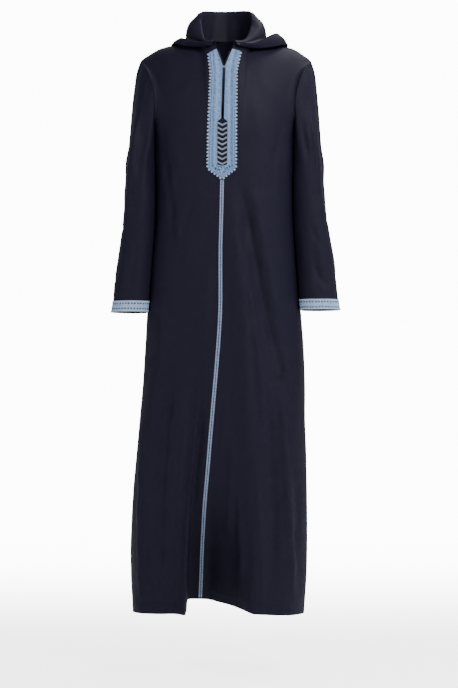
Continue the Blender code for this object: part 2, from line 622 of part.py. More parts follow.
def wall(name, outer, inner, kind, closed=False):
    """A closed wall between two grids of the same shape."""
    rows, columns = outer.shape[:2]
    shape = bmesh.new()
    sheets = [[[shape.verts.new(point) for point in row] for row in grid] for grid in (outer, inner)]
    spans = [(j, (j + 1) % columns) for j in range(columns if closed else columns - 1)]
    for sheet in sheets:
        for i in range(rows - 1):
            for j, k in spans:
                shape.faces.new((sheet[i][j], sheet[i][k], sheet[i + 1][k], sheet[i + 1][j]))
    for i in (0, rows - 1):
        for j, k in spans:
            shape.faces.new((sheets[0][i][j], sheets[0][i][k], sheets[1][i][k], sheets[1][i][j]))
    if not closed:
        for j in (0, columns - 1):
            for i in range(rows - 1):
                shape.faces.new((sheets[0][i][j], sheets[0][i + 1][j], sheets[1][i + 1][j], sheets[1][i][j]))
    bmesh.ops.triangulate(shape, faces=shape.faces[:])
    bmesh.ops.recalc_face_normals(shape, faces=shape.faces[:])
    mesh = bpy.data.meshes.new(name)
    shape.to_mesh(mesh)
    shape.free()
    if kind is None:
        return mesh
    piece = add_object(name, mesh, kind)
    mesh.shade_smooth()
    mesh.set_sharp_from_angle(angle=math.radians(50))
    return piece


def laid_shell(left, right, left_normals, right_normals):
    """The space over both fronts that a laid piece may fill, as a mesh for cutting pieces from."""
    part = (slice(0, YOKE_ROWS + 3), slice(0, LAID_COLUMNS))
    points = np.concatenate([left[part][:, ::-1], right[part]], axis=1)
    normals = np.concatenate([left_normals[part][:, ::-1], right_normals[part]], axis=1)
    return wall("laid_shell", points + normals * (LAID + PANEL_THICK), points + normals * LAID, None)


def cut_from_shell(name, shell, outline, kind):
    """The part of the shell behind an outline in the front view, as a closed piece."""
    prism = bmesh.new()
    face = prism.faces.new([prism.verts.new((x, OUTLINE_NEAR, z)) for x, z in outline])
    pushed = bmesh.ops.extrude_face_region(prism, geom=[face])
    verts = [item for item in pushed["geom"] if isinstance(item, bmesh.types.BMVert)]
    bmesh.ops.translate(prism, vec=(0, OUTLINE_FAR - OUTLINE_NEAR, 0), verts=verts)
    bmesh.ops.recalc_face_normals(prism, faces=prism.faces[:])
    cutter_mesh = bpy.data.meshes.new(name + "_outline")
    prism.to_mesh(cutter_mesh)
    prism.free()
    cutter = bpy.data.objects.new(name + "_outline", cutter_mesh)
    bpy.context.scene.collection.objects.link(cutter)
    piece = add_object(name, shell.copy(), kind)
    cut = piece.modifiers.new("outline", "BOOLEAN")
    cut.operation = "INTERSECT"
    cut.solver = "EXACT"
    cut.object = cutter
    bpy.context.view_layer.update()
    evaluated = piece.evaluated_get(bpy.context.evaluated_depsgraph_get())
    result = bpy.data.meshes.new_from_object(evaluated)
    piece.modifiers.clear()
    old = piece.data
    piece.data = result
    result.name = name
    bpy.data.meshes.remove(old)
    bpy.data.objects.remove(cutter)
    bpy.data.meshes.remove(cutter_mesh)
    clean = bmesh.new()
    clean.from_mesh(result)
    bmesh.ops.remove_doubles(clean, verts=clean.verts[:], dist=0.00002)
    bmesh.ops.dissolve_degenerate(clean, edges=clean.edges[:], dist=0.00002)
    bmesh.ops.triangulate(clean, faces=clean.faces[:])
    clean.to_mesh(result)
    clean.free()
    return piece


def toothed_line(start, finish):
    """Points of a toothed edge from start to finish, the teeth to the right of the way along."""
    start, finish = np.array(start), np.array(finish)
    length = np.linalg.norm(finish - start)
    along = (finish - start) / length
    aside = np.array([along[1], -along[0]])
    teeth = max(1, round(length / TOOTH_PITCH))
    points = []
    for tooth in range(teeth):
        root = start + along * length * tooth / teeth
        points += [root, root + along * length / teeth / 2 + aside * TOOTH_DEEP]
    return points


def edge_x(side, z, front):
    """x of a half front's opening edge at this level."""
    column = front[side][:YOKE_ROWS + 4, 0]
    return float(np.interp(-z, -column[:, 2], column[:, 0]))


def panel_outline(front):
    """Outline of the embroidered panel in the front view, anticlockwise from its top left corner."""
    left = [np.array([x + TOOTH_DEEP, z]) for z, x in PANEL_LEFT]
    right = [np.array([x - TOOTH_DEEP, z]) for z, x in PANEL_RIGHT]
    tip = np.array(PANEL_TIP) + np.array([0.0, TOOTH_DEEP])
    corners = left + [tip] + right[::-1]
    points = []
    for start, finish in zip(corners[:-1], corners[1:]):
        points += toothed_line(start, finish)
    points.append(corners[-1])
    inside = []
    for z in (PANEL_TOP_INNER_Z, V_BOTTOM_Z, SLIT_END_Z, WINDOW_TOP_Z):
        inside.append((edge_x("right", min(z, front["right"][0, 0, 2]), front) + PANEL_EDGE_CLEAR, z))
    inside[-1] = (centre_front(WINDOW_TOP_Z) + SLIT_HALF + PANEL_EDGE_CLEAR, WINDOW_TOP_Z)
    middle_top, middle_low = centre_front(WINDOW_TOP_Z), centre_front(WINDOW_LOW_Z)
    inside += [(middle_top + WINDOW_HALF, WINDOW_TOP_Z - 0.001), (middle_low + WINDOW_HALF, WINDOW_LOW_Z),
               (middle_low - WINDOW_HALF, WINDOW_LOW_Z), (middle_top - WINDOW_HALF, WINDOW_TOP_Z - 0.001)]
    back_up = []
    for z in (PANEL_TOP_INNER_Z, V_BOTTOM_Z, SLIT_END_Z, WINDOW_TOP_Z):
        back_up.append((edge_x("left", z, front) - PANEL_EDGE_CLEAR, z))
    back_up[-1] = (centre_front(WINDOW_TOP_Z) - SLIT_HALF - PANEL_EDGE_CLEAR, WINDOW_TOP_Z)
    return [tuple(point) for point in points] + inside + back_up[::-1]


def chevron_outline(number):
    """Outline of one downward pointing bar of the window."""
    low = WINDOW_TOP_Z - CHEVRON_TOP_CLEAR - CHEVRON_RISE - CHEVRON_BAR - CHEVRON_PITCH * number
    middle = centre_front(low)
    high = low + CHEVRON_RISE
    return [(middle - CHEVRON_HALF, high), (middle, low), (middle + CHEVRON_HALF, high),
            (middle + CHEVRON_HALF, high + CHEVRON_BAR), (middle, low + CHEVRON_BAR),
            (middle - CHEVRON_HALF, high + CHEVRON_BAR)]


def braid(front, normals):
    """Two cords side by side over the centre front seam, from the panel's tip to the hem."""
    top_z = PANEL_TIP[1] + TOOTH_DEEP - BRAID_CLEAR
    first = int(np.argmax(front["left"][:, 0, 2] < top_z)) - 1
    under, over = [], []
    rows = range(first, front["left"].shape[0])
    for i in rows:
        share = 0.0
        if i == first:
            above, below = front["left"][i, 0, 2], front["left"][i + 1, 0, 2]
            share = (above - top_z) / (above - below)
        low_row, top_row = [], []
        for place, height in BRAID_SECTION:
            side = "left" if place < 0 else "right"
            grid, direction = front[side], normals[side]
            if share:
                here = grid[i, :2] + (grid[i + 1, :2] - grid[i, :2]) * share
                out = direction[i, :2] + (direction[i + 1, :2] - direction[i, :2]) * share
            else:
                here, out = grid[i, :2], direction[i, :2]
            width = np.linalg.norm(here[1] - here[0])
            inwards = abs(place) * BRAID_HALF / width
            point = here[0] + (here[1] - here[0]) * inwards
            normal = out[0] + (out[1] - out[0]) * inwards
            normal /= np.linalg.norm(normal)
            low_row.append(point + normal * BRAID_LAID)
            top_row.append(point + normal * (BRAID_LAID + height))
        under.append(low_row)
        over.append(top_row)
    return wall("front_braid", np.array(over), np.array(under), "braid")


def cuff_trim(side, sleeve, normals):
    """A woven band round the sleeve's end, thicker at its two border cords."""
    top, low = sleeve[-2], sleeve[-1]
    out_top, out_low = normals[-2], normals[-1]
    under, over = [], []
    for share, height in TRIM_SECTION:
        points = top + (low - top) * share
        out = unit(out_top + (out_low - out_top) * share)
        under.append(points + out * LAID)
        over.append(points + out * (LAID + height))
    return wall("cuff_trim_" + side, np.array(over), np.array(under), "cuff", closed=True)


def neck_piping(front, normals):
    """A thin bound edge down one side of the V and the slit, round its end and up the other side."""
    route = []
    inset = SLIT_HALF / 2
    for side, sign in (("left", 1), ("right", -1)):
        grid, out = front[side], normals[side]
        line = []
        first = grid[0, 0] + (grid[1, 0] - grid[0, 0]) * PIPING_START
        for i in range(SLIT_ROW + 1):
            place = first if i == 0 else grid[i, 0]
            line.append(place + np.array([sign * inset, 0, 0]) + out[i, 0] * PIPING_LIFT)
        route.append(line)
    end_left, end_right = route[0][-1], route[1][-1]
    middle = (end_left + end_right) / 2
    radius = np.linalg.norm(end_right - end_left) / 2
    bend = []
    for degrees in (45, 90, 135):
        turn = math.radians(degrees)
        bend.append(middle + np.array([-radius * math.cos(turn), 0, -radius * math.sin(turn)]))
    points = route[0] + bend + route[1][::-1]
    curve = bpy.data.curves.new("neck_piping", "CURVE")
    curve.dimensions = "3D"
    curve.bevel_depth = PIPING_RADIUS
    curve.bevel_resolution = 1
    curve.use_fill_caps = True
    spline = curve.splines.new("POLY")
    spline.points.add(len(points) - 1)
    for place, point in zip(spline.points, points):
        place.co = (*point, 1.0)
    curve.materials.append(colour_material("neck_piping", "piping"))
    piece = bpy.data.objects.new("neck_piping", curve)
    bpy.context.scene.collection.objects.link(piece)
    return piece


def clear_scene():
    for old in list(bpy.data.objects):
        bpy.data.objects.remove(old)


def main():
    clear_scene()
    left, right, back = front_grid("left"), front_grid("right"), back_grid()
    sleeves = {side: sleeve_grid(side, front, back) for side, front in (("left", left), ("right", right))}
    hood = hood_grid(left, right, back)
    sheets = {
        "front_left": (left, False, 1), "front_right": (right, False, -1), "back": (back, False, 1),
        "sleeve_left": (sleeves["left"], True, -1), "sleeve_right": (sleeves["right"], True, 1),
        "hood": (hood, False, -1),
    }
    normals = shared_normals(sheets)
    half_top = slice(0, NECK_STEPS + SHOULDER_STEPS + 1)
    back_top = slice(ARMHOLE_STEPS, back.shape[1] - ARMHOLE_STEPS)
    drawn = {
        "front_left": drawn_in(left, half_top, first_column=True, last_column=True),
        "front_right": drawn_in(right, half_top, first_column=True, last_column=True),
        "back": drawn_in(back, back_top, first_column=True, last_column=True),
        "sleeve_left": sleeves["left"].copy(), "sleeve_right": sleeves["right"].copy(),
        "hood": drawn_in(hood, slice(None)),
    }
    for side, front in (("left", left), ("right", right)):
        sleeve = "sleeve_" + side
        parting = armhole_parting(side, front, back, sleeves[side], normals[sleeve])
        part_armhole(side, drawn["front_" + side], drawn["back"], drawn[sleeve], parting)
    for name, (grid, closed, outward) in sheets.items():
        wall(name, drawn[name], drawn[name] - normals[name] * CLOTH, "cloth", closed)
    fronts = {"left": left, "right": right}
    front_normals = {"left": normals["front_left"], "right": normals["front_right"]}
    shell = laid_shell(left, right, front_normals["left"], front_normals["right"])
    cut_from_shell("embroidered_panel", shell, panel_outline(fronts), "embroidery")
    for number in range(CHEVRONS):
        cut_from_shell(f"chevron_{number + 1}", shell, chevron_outline(number), "chevron")
    bpy.data.meshes.remove(shell)
    braid(fronts, front_normals)
    for side in ("left", "right"):
        cuff_trim(side, sleeves[side], normals["sleeve_" + side])
    neck_piping(fronts, front_normals)


main()
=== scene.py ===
# %% [markdown]
# # A hooded robe in cloth, braid and embroidery
#
# The robe is one garment of dark twill: two front halves, a back, two set-in sleeves and a hood that
# lies on the shoulders. Light blue needlework frames the neck slit, two cords run down the centre
# front and a woven band edges each cuff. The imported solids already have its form, so every piece here
# is laid on that form as thin cloth, and gets its creases, threads and finish.

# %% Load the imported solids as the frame
import math

import bmesh
import bpy
import numpy as np
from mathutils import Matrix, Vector
from mathutils.bvhtree import BVHTree


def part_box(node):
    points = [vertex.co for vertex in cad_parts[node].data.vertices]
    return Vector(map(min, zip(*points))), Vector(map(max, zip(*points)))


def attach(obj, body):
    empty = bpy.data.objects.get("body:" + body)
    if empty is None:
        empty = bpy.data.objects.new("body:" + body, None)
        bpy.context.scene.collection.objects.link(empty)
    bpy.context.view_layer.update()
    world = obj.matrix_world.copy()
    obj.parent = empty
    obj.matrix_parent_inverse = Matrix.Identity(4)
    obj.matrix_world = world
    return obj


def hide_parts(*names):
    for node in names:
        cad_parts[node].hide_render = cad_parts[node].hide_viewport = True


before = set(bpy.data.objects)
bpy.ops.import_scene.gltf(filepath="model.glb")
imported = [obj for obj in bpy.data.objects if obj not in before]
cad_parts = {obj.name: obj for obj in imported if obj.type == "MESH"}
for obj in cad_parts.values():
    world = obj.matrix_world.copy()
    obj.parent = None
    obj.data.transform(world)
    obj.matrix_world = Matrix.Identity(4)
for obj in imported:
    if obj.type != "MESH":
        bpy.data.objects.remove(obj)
bpy.ops.object.select_all(action="DESELECT")
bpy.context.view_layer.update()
print("solids in the frame:", len(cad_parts))

# %% [markdown]
# ## The camera first
#
# The picture was taken from far away with a long lens, level with the middle of the robe. The camera is
# set before anything else, so that each new piece can be judged from there. Its distance and lens come
# from the size of the robe in the picture: 688 pixels of height show 1.651 m at the shoulders' plane.

# %% Set the camera
CAMERA_DISTANCE = 4.3
CAMERA_X, CAMERA_Z = 0.0072, -0.715
PICTURE_HEIGHT_M = 1.6512
SENSOR_MM = 36.0

camera_data = bpy.data.cameras.new("camera")
camera_data.sensor_fit = "AUTO"
camera_data.sensor_width = SENSOR_MM
camera_data.lens = SENSOR_MM * CAMERA_DISTANCE / PICTURE_HEIGHT_M
camera = bpy.data.objects.new("camera", camera_data)
camera.location = (CAMERA_X, -CAMERA_DISTANCE, CAMERA_Z)
camera.rotation_euler = (math.radians(90), 0, 0)
bpy.context.scene.collection.objects.link(camera)
bpy.context.scene.camera = camera
print("lens in mm:", round(camera_data.lens, 2))

# %% [markdown]
# ## Helpers for the finishes
#
# A finish is a small network of nodes. These helpers make a node, set its values and join its inputs,
# so that each network reads from top to bottom. The paper behind the robe is the first to use them.

# %% Make and join nodes
def join(tree, value, socket):
    """Link another socket to this one, or set this one to a value."""
    if isinstance(value, bpy.types.NodeSocket):
        tree.links.new(value, socket)
    else:
        socket.default_value = value


def node(tree, kind, inputs=(), **settings):
    """A node with its settings, and its inputs joined or set, by name or number."""
    made = tree.nodes.new(kind)
    for key, value in settings.items():
        setattr(made, key, value)
    for key, value in dict(inputs).items():
        join(tree, value, made.inputs[key])
    return made


def calc(tree, operation, one, two=0.0, three=0.0):
    """The result of a Math node."""
    return node(tree, "ShaderNodeMath", {0: one, 1: two, 2: three}, operation=operation).outputs[0]


def mixed(tree, factor, one, two):
    """The colour result of a Mix node."""
    return node(tree, "ShaderNodeMix", {0: factor, 6: one, 7: two}, data_type="RGBA").outputs[2]


def ramped(tree, value, low, high, start=0.0, end=1.0, **settings):
    """A value that runs from start to end while the given one runs from low to high."""
    inputs = {0: value, 1: low, 2: high, 3: start, 4: end}
    return node(tree, "ShaderNodeMapRange", inputs, **settings).outputs[0]


def noise(tree, vector, scale, detail=2.0):
    """A soft noise between 0 and 1."""
    inputs = {"Vector": vector, "Scale": scale, "Detail": detail}
    return node(tree, "ShaderNodeTexNoise", inputs).outputs["Fac"]


print("helpers ready")

# %% [markdown]
# ## Floor, backdrop and light
#
# The robe hangs as if worn, so its hem ends a little above the floor. Floor and backdrop are one plain
# sheet with a wide bend between them, nearly white. Soft lamps do what a product studio does: one light
# from the front right that grazes the folds, a weak one opposite, a low bluish one at each side, two
# from above and behind, and a pale sky.

# %% Build the floor and the lamps
FLOOR_Z = -1.500
PAPER_GLOW, FLOOR_GLOW = 12.0, 3.5         # the paper is lit on its own, as a studio lights its white
GLOW_NEAR_Y, GLOW_FAR_Y = 0.3, 2.6         # background, and the light grows from the robe to the back
FLOOR_HALF_WIDTH, FLOOR_FRONT_Y, BACKDROP_Y, BACKDROP_TOP_Z, BEND = 9.0, -7.0, 4.2, 6.0, 2.2


def backdrop_profile():
    """Points of the sheet from the front of the floor to the top of the backdrop, as (y, z)."""
    profile = [(FLOOR_FRONT_Y, FLOOR_Z)]
    for step in range(17):
        turn = math.radians(90) * step / 16
        profile.append((BACKDROP_Y - BEND + BEND * math.sin(turn), FLOOR_Z + BEND - BEND * math.cos(turn)))
    profile.append((BACKDROP_Y, BACKDROP_TOP_Z))
    return profile


backdrop_mesh = bpy.data.meshes.new("backdrop")
profile = backdrop_profile()
backdrop_points = [(x, y, z) for y, z in profile for x in (-FLOOR_HALF_WIDTH, FLOOR_HALF_WIDTH)]
backdrop_faces = [(2 * k, 2 * k + 1, 2 * k + 3, 2 * k + 2) for k in range(len(profile) - 1)]
backdrop_mesh.from_pydata(backdrop_points, [], backdrop_faces)
backdrop_mesh.shade_smooth()
backdrop = bpy.data.objects.new("backdrop", backdrop_mesh)
bpy.context.scene.collection.objects.link(backdrop)

paper = bpy.data.materials.new("backdrop paper")
paper.use_nodes = True
tree = paper.node_tree
shader = tree.nodes["Principled BSDF"]
for key, value in (("Base Color", (0.93, 0.93, 0.935, 1)), ("Roughness", 0.9), ("Specular IOR Level", 0.1),
                   ("Emission Color", (1, 1, 1, 1))):
    shader.inputs[key].default_value = value
place = node(tree, "ShaderNodeTexCoord").outputs["Object"]
depth = node(tree, "ShaderNodeSeparateXYZ", {0: place}).outputs[1]
glow = ramped(tree, depth, GLOW_NEAR_Y, GLOW_FAR_Y, FLOOR_GLOW, PAPER_GLOW, interpolation_type="SMOOTHSTEP")
seen = node(tree, "ShaderNodeLightPath").outputs["Is Camera Ray"]
join(tree, calc(tree, "MULTIPLY", seen, glow), shader.inputs["Emission Strength"])
behind = node(tree, "ShaderNodeNewGeometry").outputs["Backfacing"]
clear = node(tree, "ShaderNodeBsdfTransparent").outputs[0]         # seen from behind, the paper is clear
paper_mix = node(tree, "ShaderNodeMixShader", {0: behind, 1: shader.outputs[0], 2: clear})
join(tree, paper_mix.outputs[0], tree.nodes["Material Output"].inputs["Surface"])
backdrop_mesh.materials.append(paper)

WHITE, BLUISH = (1.0, 1.0, 1.0), (0.72, 0.84, 1.0)
LAMPS = (
    # name, place, aim, size, power in watts, colour
    ("front right above", (1.30, -2.05, 1.5), (0.0, 0.0, -0.35), 0.9, 54, WHITE),
    ("front left", (-2.6, -3.2, 0.9), (0.0, 0.0, -0.5), 2.2, 19, WHITE),
    ("right side", (3.0, -1.2, -0.4), (0.0, 0.0, -1.1), 1.0, 15, BLUISH),
    ("left side", (-3.0, -1.2, -0.4), (0.0, 0.0, -1.1), 1.0, 10, BLUISH),
    ("right above", (1.3, 0.7, 2.1), (0.0, 0.0, -0.2), 1.0, 40, WHITE),
    ("behind above", (0.0, 2.6, 2.6), (0.0, 0.0, -0.6), 1.8, 14, WHITE),
)
for name, place, aim, size, power, colour in LAMPS:
    lamp_data = bpy.data.lights.new(name, "AREA")
    lamp_data.shape = "DISK"
    lamp_data.size = size
    lamp_data.energy = power
    lamp_data.color = colour
    lamp = bpy.data.objects.new(name, lamp_data)
    lamp.location = place
    lamp.rotation_euler = (Vector(aim) - Vector(place)).to_track_quat("-Z", "Y").to_euler()
    bpy.context.scene.collection.objects.link(lamp)

sky = bpy.data.worlds.new("pale sky")
sky.use_nodes = True
sky.node_tree.nodes["Background"].inputs["Color"].default_value = (0.95, 0.97, 1.0, 1)
sky.node_tree.nodes["Background"].inputs["Strength"].default_value = 0.20
bpy.context.scene.world = sky
print("lamps:", len(LAMPS), "floor at", FLOOR_Z)

# %% [markdown]
# ## The form of the cloth
#
# The solids were made from a few tables: level sections of body and skirt, the top edges of each cut
# piece, the sleeves' rings and the hood's rows. The same tables are written out here, because thin
# cloth has to lie exactly where the solids do. A table is read along a smooth curve through its rows.

# %% Repeat the tables of body and skirt
SEAM = 0.0002             # each piece stops this far short of its seam line
CHEST_Z = -0.26           # the level below the armholes where the sections start
V_BOTTOM_Z = -0.061       # where the neck's V meets the slit
SLIT_END_Z = -0.190       # lower end of the slit
SLIT_CLOSING = 0.0045      # height in which the slit closes
SLIT_HALF = 0.0027        # half of the slit's width between the cloth edges
SECTION_POWER = 0.85      # below 1 a section is squarer than an ellipse
TURN_STEP = 0.02          # turn to either side over which a section's direction is measured
HEM_LEVEL = -1.37         # no fold is measured from below this level
NECK_STEPS, SHOULDER_STEPS, ARMHOLE_STEPS = 4, 7, 6
BACK_NECK_STEPS = 3       # columns from the nape to the side of the neck
SKIRT_ROWS = 12
SLEEVE_CLEAR = 0.003      # between a hanging sleeve and the side of the body
SLEEVE_LAP = 0.010        # how far the sleeve would reach past that side, which presses it flat
TOOTH_PITCH, TOOTH_DEEP = 0.0083, 0.005
CHEVRONS, CHEVRON_PITCH = 9, 0.0114
BRAID_CLEAR = 0.0022      # from the point of the embroidered panel down to the braid
print("seam gap in mm:", SEAM * 2000)

# %% Level sections, centre front line and folds
# Half width of body and skirt on each side, and depth to front and to back
SECTIONS = (
    # z, left, right, front, back
    (-0.26, 0.1725, 0.1640, 0.122, 0.116),
    (-0.35, 0.1700, 0.1615, 0.125, 0.111),
    (-0.42, 0.1710, 0.1635, 0.127, 0.110),
    (-0.50, 0.1785, 0.1690, 0.130, 0.120),
    (-0.58, 0.1850, 0.1755, 0.132, 0.131),
    (-0.66, 0.1905, 0.1820, 0.134, 0.134),
    (-0.75, 0.1950, 0.1880, 0.136, 0.131),
    (-0.90, 0.2080, 0.1910, 0.139, 0.131),
    (-1.05, 0.2210, 0.1940, 0.143, 0.137),
    (-1.20, 0.2290, 0.1950, 0.147, 0.146),
    (-1.30, 0.2270, 0.1930, 0.150, 0.152),
    (-1.37, 0.2220, 0.1870, 0.152, 0.155),
)

# The centre front line, which the braid follows
CENTRE_FRONT = (
    # z, x
    (0.00, -0.0034), (-0.061, -0.0045), (-0.19, -0.0080), (-0.333, -0.0091), (-0.50, -0.0126),
    (-0.65, -0.0138), (-0.77, -0.0222), (-0.87, -0.0310), (-1.00, -0.0422), (-1.10, -0.0508),
    (-1.19, -0.0561), (-1.32, -0.0614),
)
print("sections:", len(SECTIONS), "from", SECTIONS[0][0], "down to", SECTIONS[-1][0])

# %% [markdown]
# The top edge of each half runs along the neck, over the shoulder and down the armhole. From there
# the cloth turns from lying flat on the shoulder to hanging plumb, and the skirt's folds start low.

# %% Top edges, hem and folds
# The top edge of a half front and a half back, in runs from the centre outwards, for the right side.
# lean is how far the cloth has already turned from lying flat on the shoulder, in degrees.
NECK_FRONT = (
    # along, x, y, z, lean
    (0.00, 0.0210, -0.078, -0.0105, 28), (0.35, 0.0370, -0.0665, -0.0030, 22),
    (0.70, 0.0540, -0.042, 0.0060, 12), (1.00, 0.0660, 0.003, 0.0120, 0),
)
SHOULDER = (
    (0.00, 0.0660, 0.003, 0.0120, 0), (0.40, 0.1180, 0.003, 0.0030, 0),
    (0.75, 0.1680, 0.003, -0.0100, 0), (1.00, 0.2045, 0.003, -0.0360, 0),
)
ARMHOLE_FRONT = (
    (0.00, 0.2045, 0.003, -0.0360, 0), (0.20, 0.1900, -0.037, -0.0570, 25),
    (0.45, 0.1735, -0.064, -0.1000, 52), (0.70, 0.1665, -0.067, -0.1520, 72),
    (0.88, 0.1675, -0.043, -0.2010, 82), (1.00, 0.1680, 0.000, -0.2220, 86),
)
ARMHOLE_BACK = (
    (0.00, 0.2045, 0.003, -0.0360, 0), (0.20, 0.1930, 0.039, -0.0580, 25),
    (0.45, 0.1810, 0.063, -0.1000, 52), (0.70, 0.1745, 0.069, -0.1520, 72),
    (0.88, 0.1695, 0.046, -0.2010, 82), (1.00, 0.1680, 0.000, -0.2220, 86),
)
NECK_BACK = (
    (0.00, 0.0660, 0.003, 0.0120, 0), (0.40, 0.0530, 0.045, 0.0175, 14),
    (0.75, 0.0260, 0.067, 0.0205, 22), (1.00, 0.0000, 0.073, 0.0210, 24),
)
NECK_SHIFT = -0.0034                            # the neck opening sits a little off centre
ARMHOLE_WIDER = {"left": 0.0045, "right": -0.0045}

# How far round from the centre front each column of a half front runs, 1 being the side seam
NECK_COLUMNS = {"left": (0.0, 0.045, 0.088, 0.105), "right": (0.0, 0.045, 0.088, 0.130)}
SIDE_NECK_COLUMN = 0.17
SHOULDER_TIP_COLUMN = 0.52
ARMHOLE_COLUMNS = (0.575, 0.63, 0.685, 0.74, 0.86, 1.0)

# Level of the hem, and how much of the recess between the legs a column takes, by place on the half front
HEM_FRONT = {
    # column, z, recess
    "left": ((0.0, -1.3235, 1.0), (0.088, -1.3240, 1.0), (0.105, -1.3430, 0.0), (0.40, -1.3460, 0.0),
             (0.80, -1.3500, 0.0), (1.0, -1.3570, 0.0)),
    "right": ((0.0, -1.3235, 1.0), (0.055, -1.3245, 1.0), (0.155, -1.3320, 0.55), (0.28, -1.3430, 0.06),
              (0.45, -1.3470, 0.0), (1.0, -1.3570, 0.0)),
}
HEM_BACK_SIDE_Z, HEM_BACK_CENTRE_Z = -1.357, -1.333
# Depth of that recess, where the skirt falls back between the legs
RECESS = ((-0.80, 0.0), (-0.95, 0.016), (-1.10, 0.044), (-1.22, 0.088), (-1.3235, 0.122), (-1.37, 0.124))

# The largest folds of body and skirt. height is outwards, and a valley has a negative one.
FOLDS_FRONT = (
    # z_top, z_low, x_top, x_mid, x_low, width, height
    (-0.30, -0.86, 0.022, 0.079, 0.142, 0.018, -0.0060),   # crease from the panel to the right hip
    (-0.34, -1.60, 0.002, 0.047, 0.053, 0.022, 0.0070),    # ridge right of the braid
    (-0.66, -1.60, 0.172, 0.148, 0.144, 0.020, 0.0065),    # ridge over the right leg
    (-0.60, -1.60, -0.128, -0.186, -0.198, 0.022, 0.0075), # ridge over the left leg
    (-0.70, -1.60, -0.058, -0.100, -0.130, 0.018, -0.0090),  # valley left of the braid
    (-1.00, -1.60, -0.060, -0.088, -0.092, 0.012, 0.0060),   # edge of the turned fold
    (-0.26, -0.62, -0.150, -0.110, -0.070, 0.020, 0.0040),   # drag from the left armhole
)
FOLDS_BACK = (
    (-0.40, -1.60, -0.060, -0.118, -0.140, 0.024, 0.0100),
    (-0.55, -1.60, -0.040, -0.048, -0.052, 0.022, -0.0080),
    (-0.36, -1.60, 0.010, 0.022, 0.026, 0.026, 0.0090),
    (-0.60, -1.60, 0.070, 0.082, 0.078, 0.020, -0.0080),
    (-0.42, -1.60, 0.090, 0.128, 0.136, 0.024, 0.0090),
)
FOLD_FADE = 0.14          # a fold rises to its full height over this distance
print("folds in front and back:", len(FOLDS_FRONT), len(FOLDS_BACK))

# %% Sleeves below the armhole
SLEEVE_ROWS = {
    # z, outer x, y of the middle, half depth
    "left": ((-0.275, 0.2385, -0.002, 0.073), (-0.335, 0.242, -0.004, 0.07),
             (-0.395, 0.246, -0.007, 0.067), (-0.455, 0.252, -0.011, 0.064),
             (-0.515, 0.26, -0.016, 0.06), (-0.57, 0.267, -0.022, 0.056),
             (-0.614, 0.27, -0.028, 0.053), (-0.64, 0.274, -0.031, 0.0525)),
    "right": ((-0.275, 0.232, -0.002, 0.073), (-0.335, 0.235, -0.004, 0.07),
              (-0.395, 0.242, -0.007, 0.067), (-0.455, 0.251, -0.011, 0.064),
              (-0.515, 0.26, -0.016, 0.06), (-0.57, 0.264, -0.022, 0.056),
              (-0.61, 0.268, -0.028, 0.053), (-0.6345, 0.272, -0.031, 0.0525)),
}
SLEEVE_HEAD = (0.0, 0.1, 0.28, 0.52, 0.76)   # shares of the way from the armhole to the first row above
SLEEVE_HEAD_FULL = 0.0065  # how far the sleeve head stands out on that way
CUFF_TILT = 0.0015        # the back of the cuff hangs this much lower than its middle
SLEEVE_POWER = 0.9        # below 1 a sleeve's ring is squarer than an ellipse
NEAR_BODY = 2.5           # how fast a sleeve's ring flattens on the side that lies against the body
FOLDS_SLEEVE = (
    # row_top, row_low, turn_top, turn_low, width, height; turn in degrees, 0 outside, 90 in front
    (1.2, 6.0, 128, 80, 17, -0.007),
    (2.0, 8.5, 70, 38, 18, 0.005),
    (7.0, 11.5, 120, 66, 18, -0.0045),
    (3.0, 10.0, 20, 12, 18, -0.0035),
    (2.0, 7.0, 235, 280, 20, -0.006),
    (6.0, 11.5, 300, 250, 22, 0.0045),
)
print("rings of a sleeve:", len(SLEEVE_HEAD) + len(SLEEVE_ROWS["left"]))

# %% [markdown]
# The hood is worn down. From the neckline its cloth stands up to a crest, falls behind and beside the
# neck, lies on the shoulders and turns up again at the rim. Each row below is one cut through it.

# %% The hood's cuts
# The hood, worn down. Its cloth stands up from the neckline to the crest, falls to the heel, runs out to
# the toe and rises to the rim. place counts neckline steps from the left corner of the V.
HOOD = (
    # place, and in millimetres x, y, z of the crest, the heel, the toe and the rim
    (0, -26.8, -80, -1.2, -31.5, -84.5, -8.5, -38, -85.5, -12.5, -36.5, -89.5, -5),
    (2, -53.5, -50, 12, -61, -48, 2, -69, -57, -11, -74, -66.5, 0.5),
    (3, -60.1, -20, 47, -82, -27, 9, -104, -43, -6, -98.5, -52, 9.5),
    (4, -59.5, 0, 77, -96, 2, 11, -130, 0, 3, -112, -11, 17),
    (5, -53, 36, 90, -96, 55, -16, -127, 64, -33, -123, 56, 11),
    (6, -31, 69, 96, -70, 108, -132, -86, 128, -155, -88, 129, 6),
    (7, 0, 83, 98, 0, 129, -272, 0, 148, -290, 0, 161, 14),
    (8, 31, 69, 96, 70, 108, -132, 86, 128, -155, 90, 129, 8),
    (9, 54, 38, 90, 98, 55, -16, 133, 64, -33, 130, 56, 17),
    (10, 61.7, 3, 77, 94, 2, 11.5, 148, 0, 1.5, 127, -8, 27),
    (11, 61, -15, 46, 80, -27, 9, 120, -42, -7, 111, -44, 21.5),
    (12, 50, -47, 13, 60, -48, 2, 80, -60, -14.5, 75, -70, -1),
    (14, 20, -80, -1.5, 24.7, -84.5, -9, 34, -85.5, -13, 32, -89.5, -5.5),
)
FALL_FULL, FALL_FULL_SHARE = 0.013, 0.17   # how far the fall stands out, at most and for its height
FALL_MIDDLE = 0.42        # place of its fullest point on the way from crest to heel
FALL_LIFT = 0.25          # how far the fullest point is lifted, for what it stands out
RIM_FULL, RIM_FULL_REACH = 0.12, 0.05      # roundness of the rise from toe to rim
STAND_SHARES = (0.45, 0.8)                 # rows between the neckline and the crest
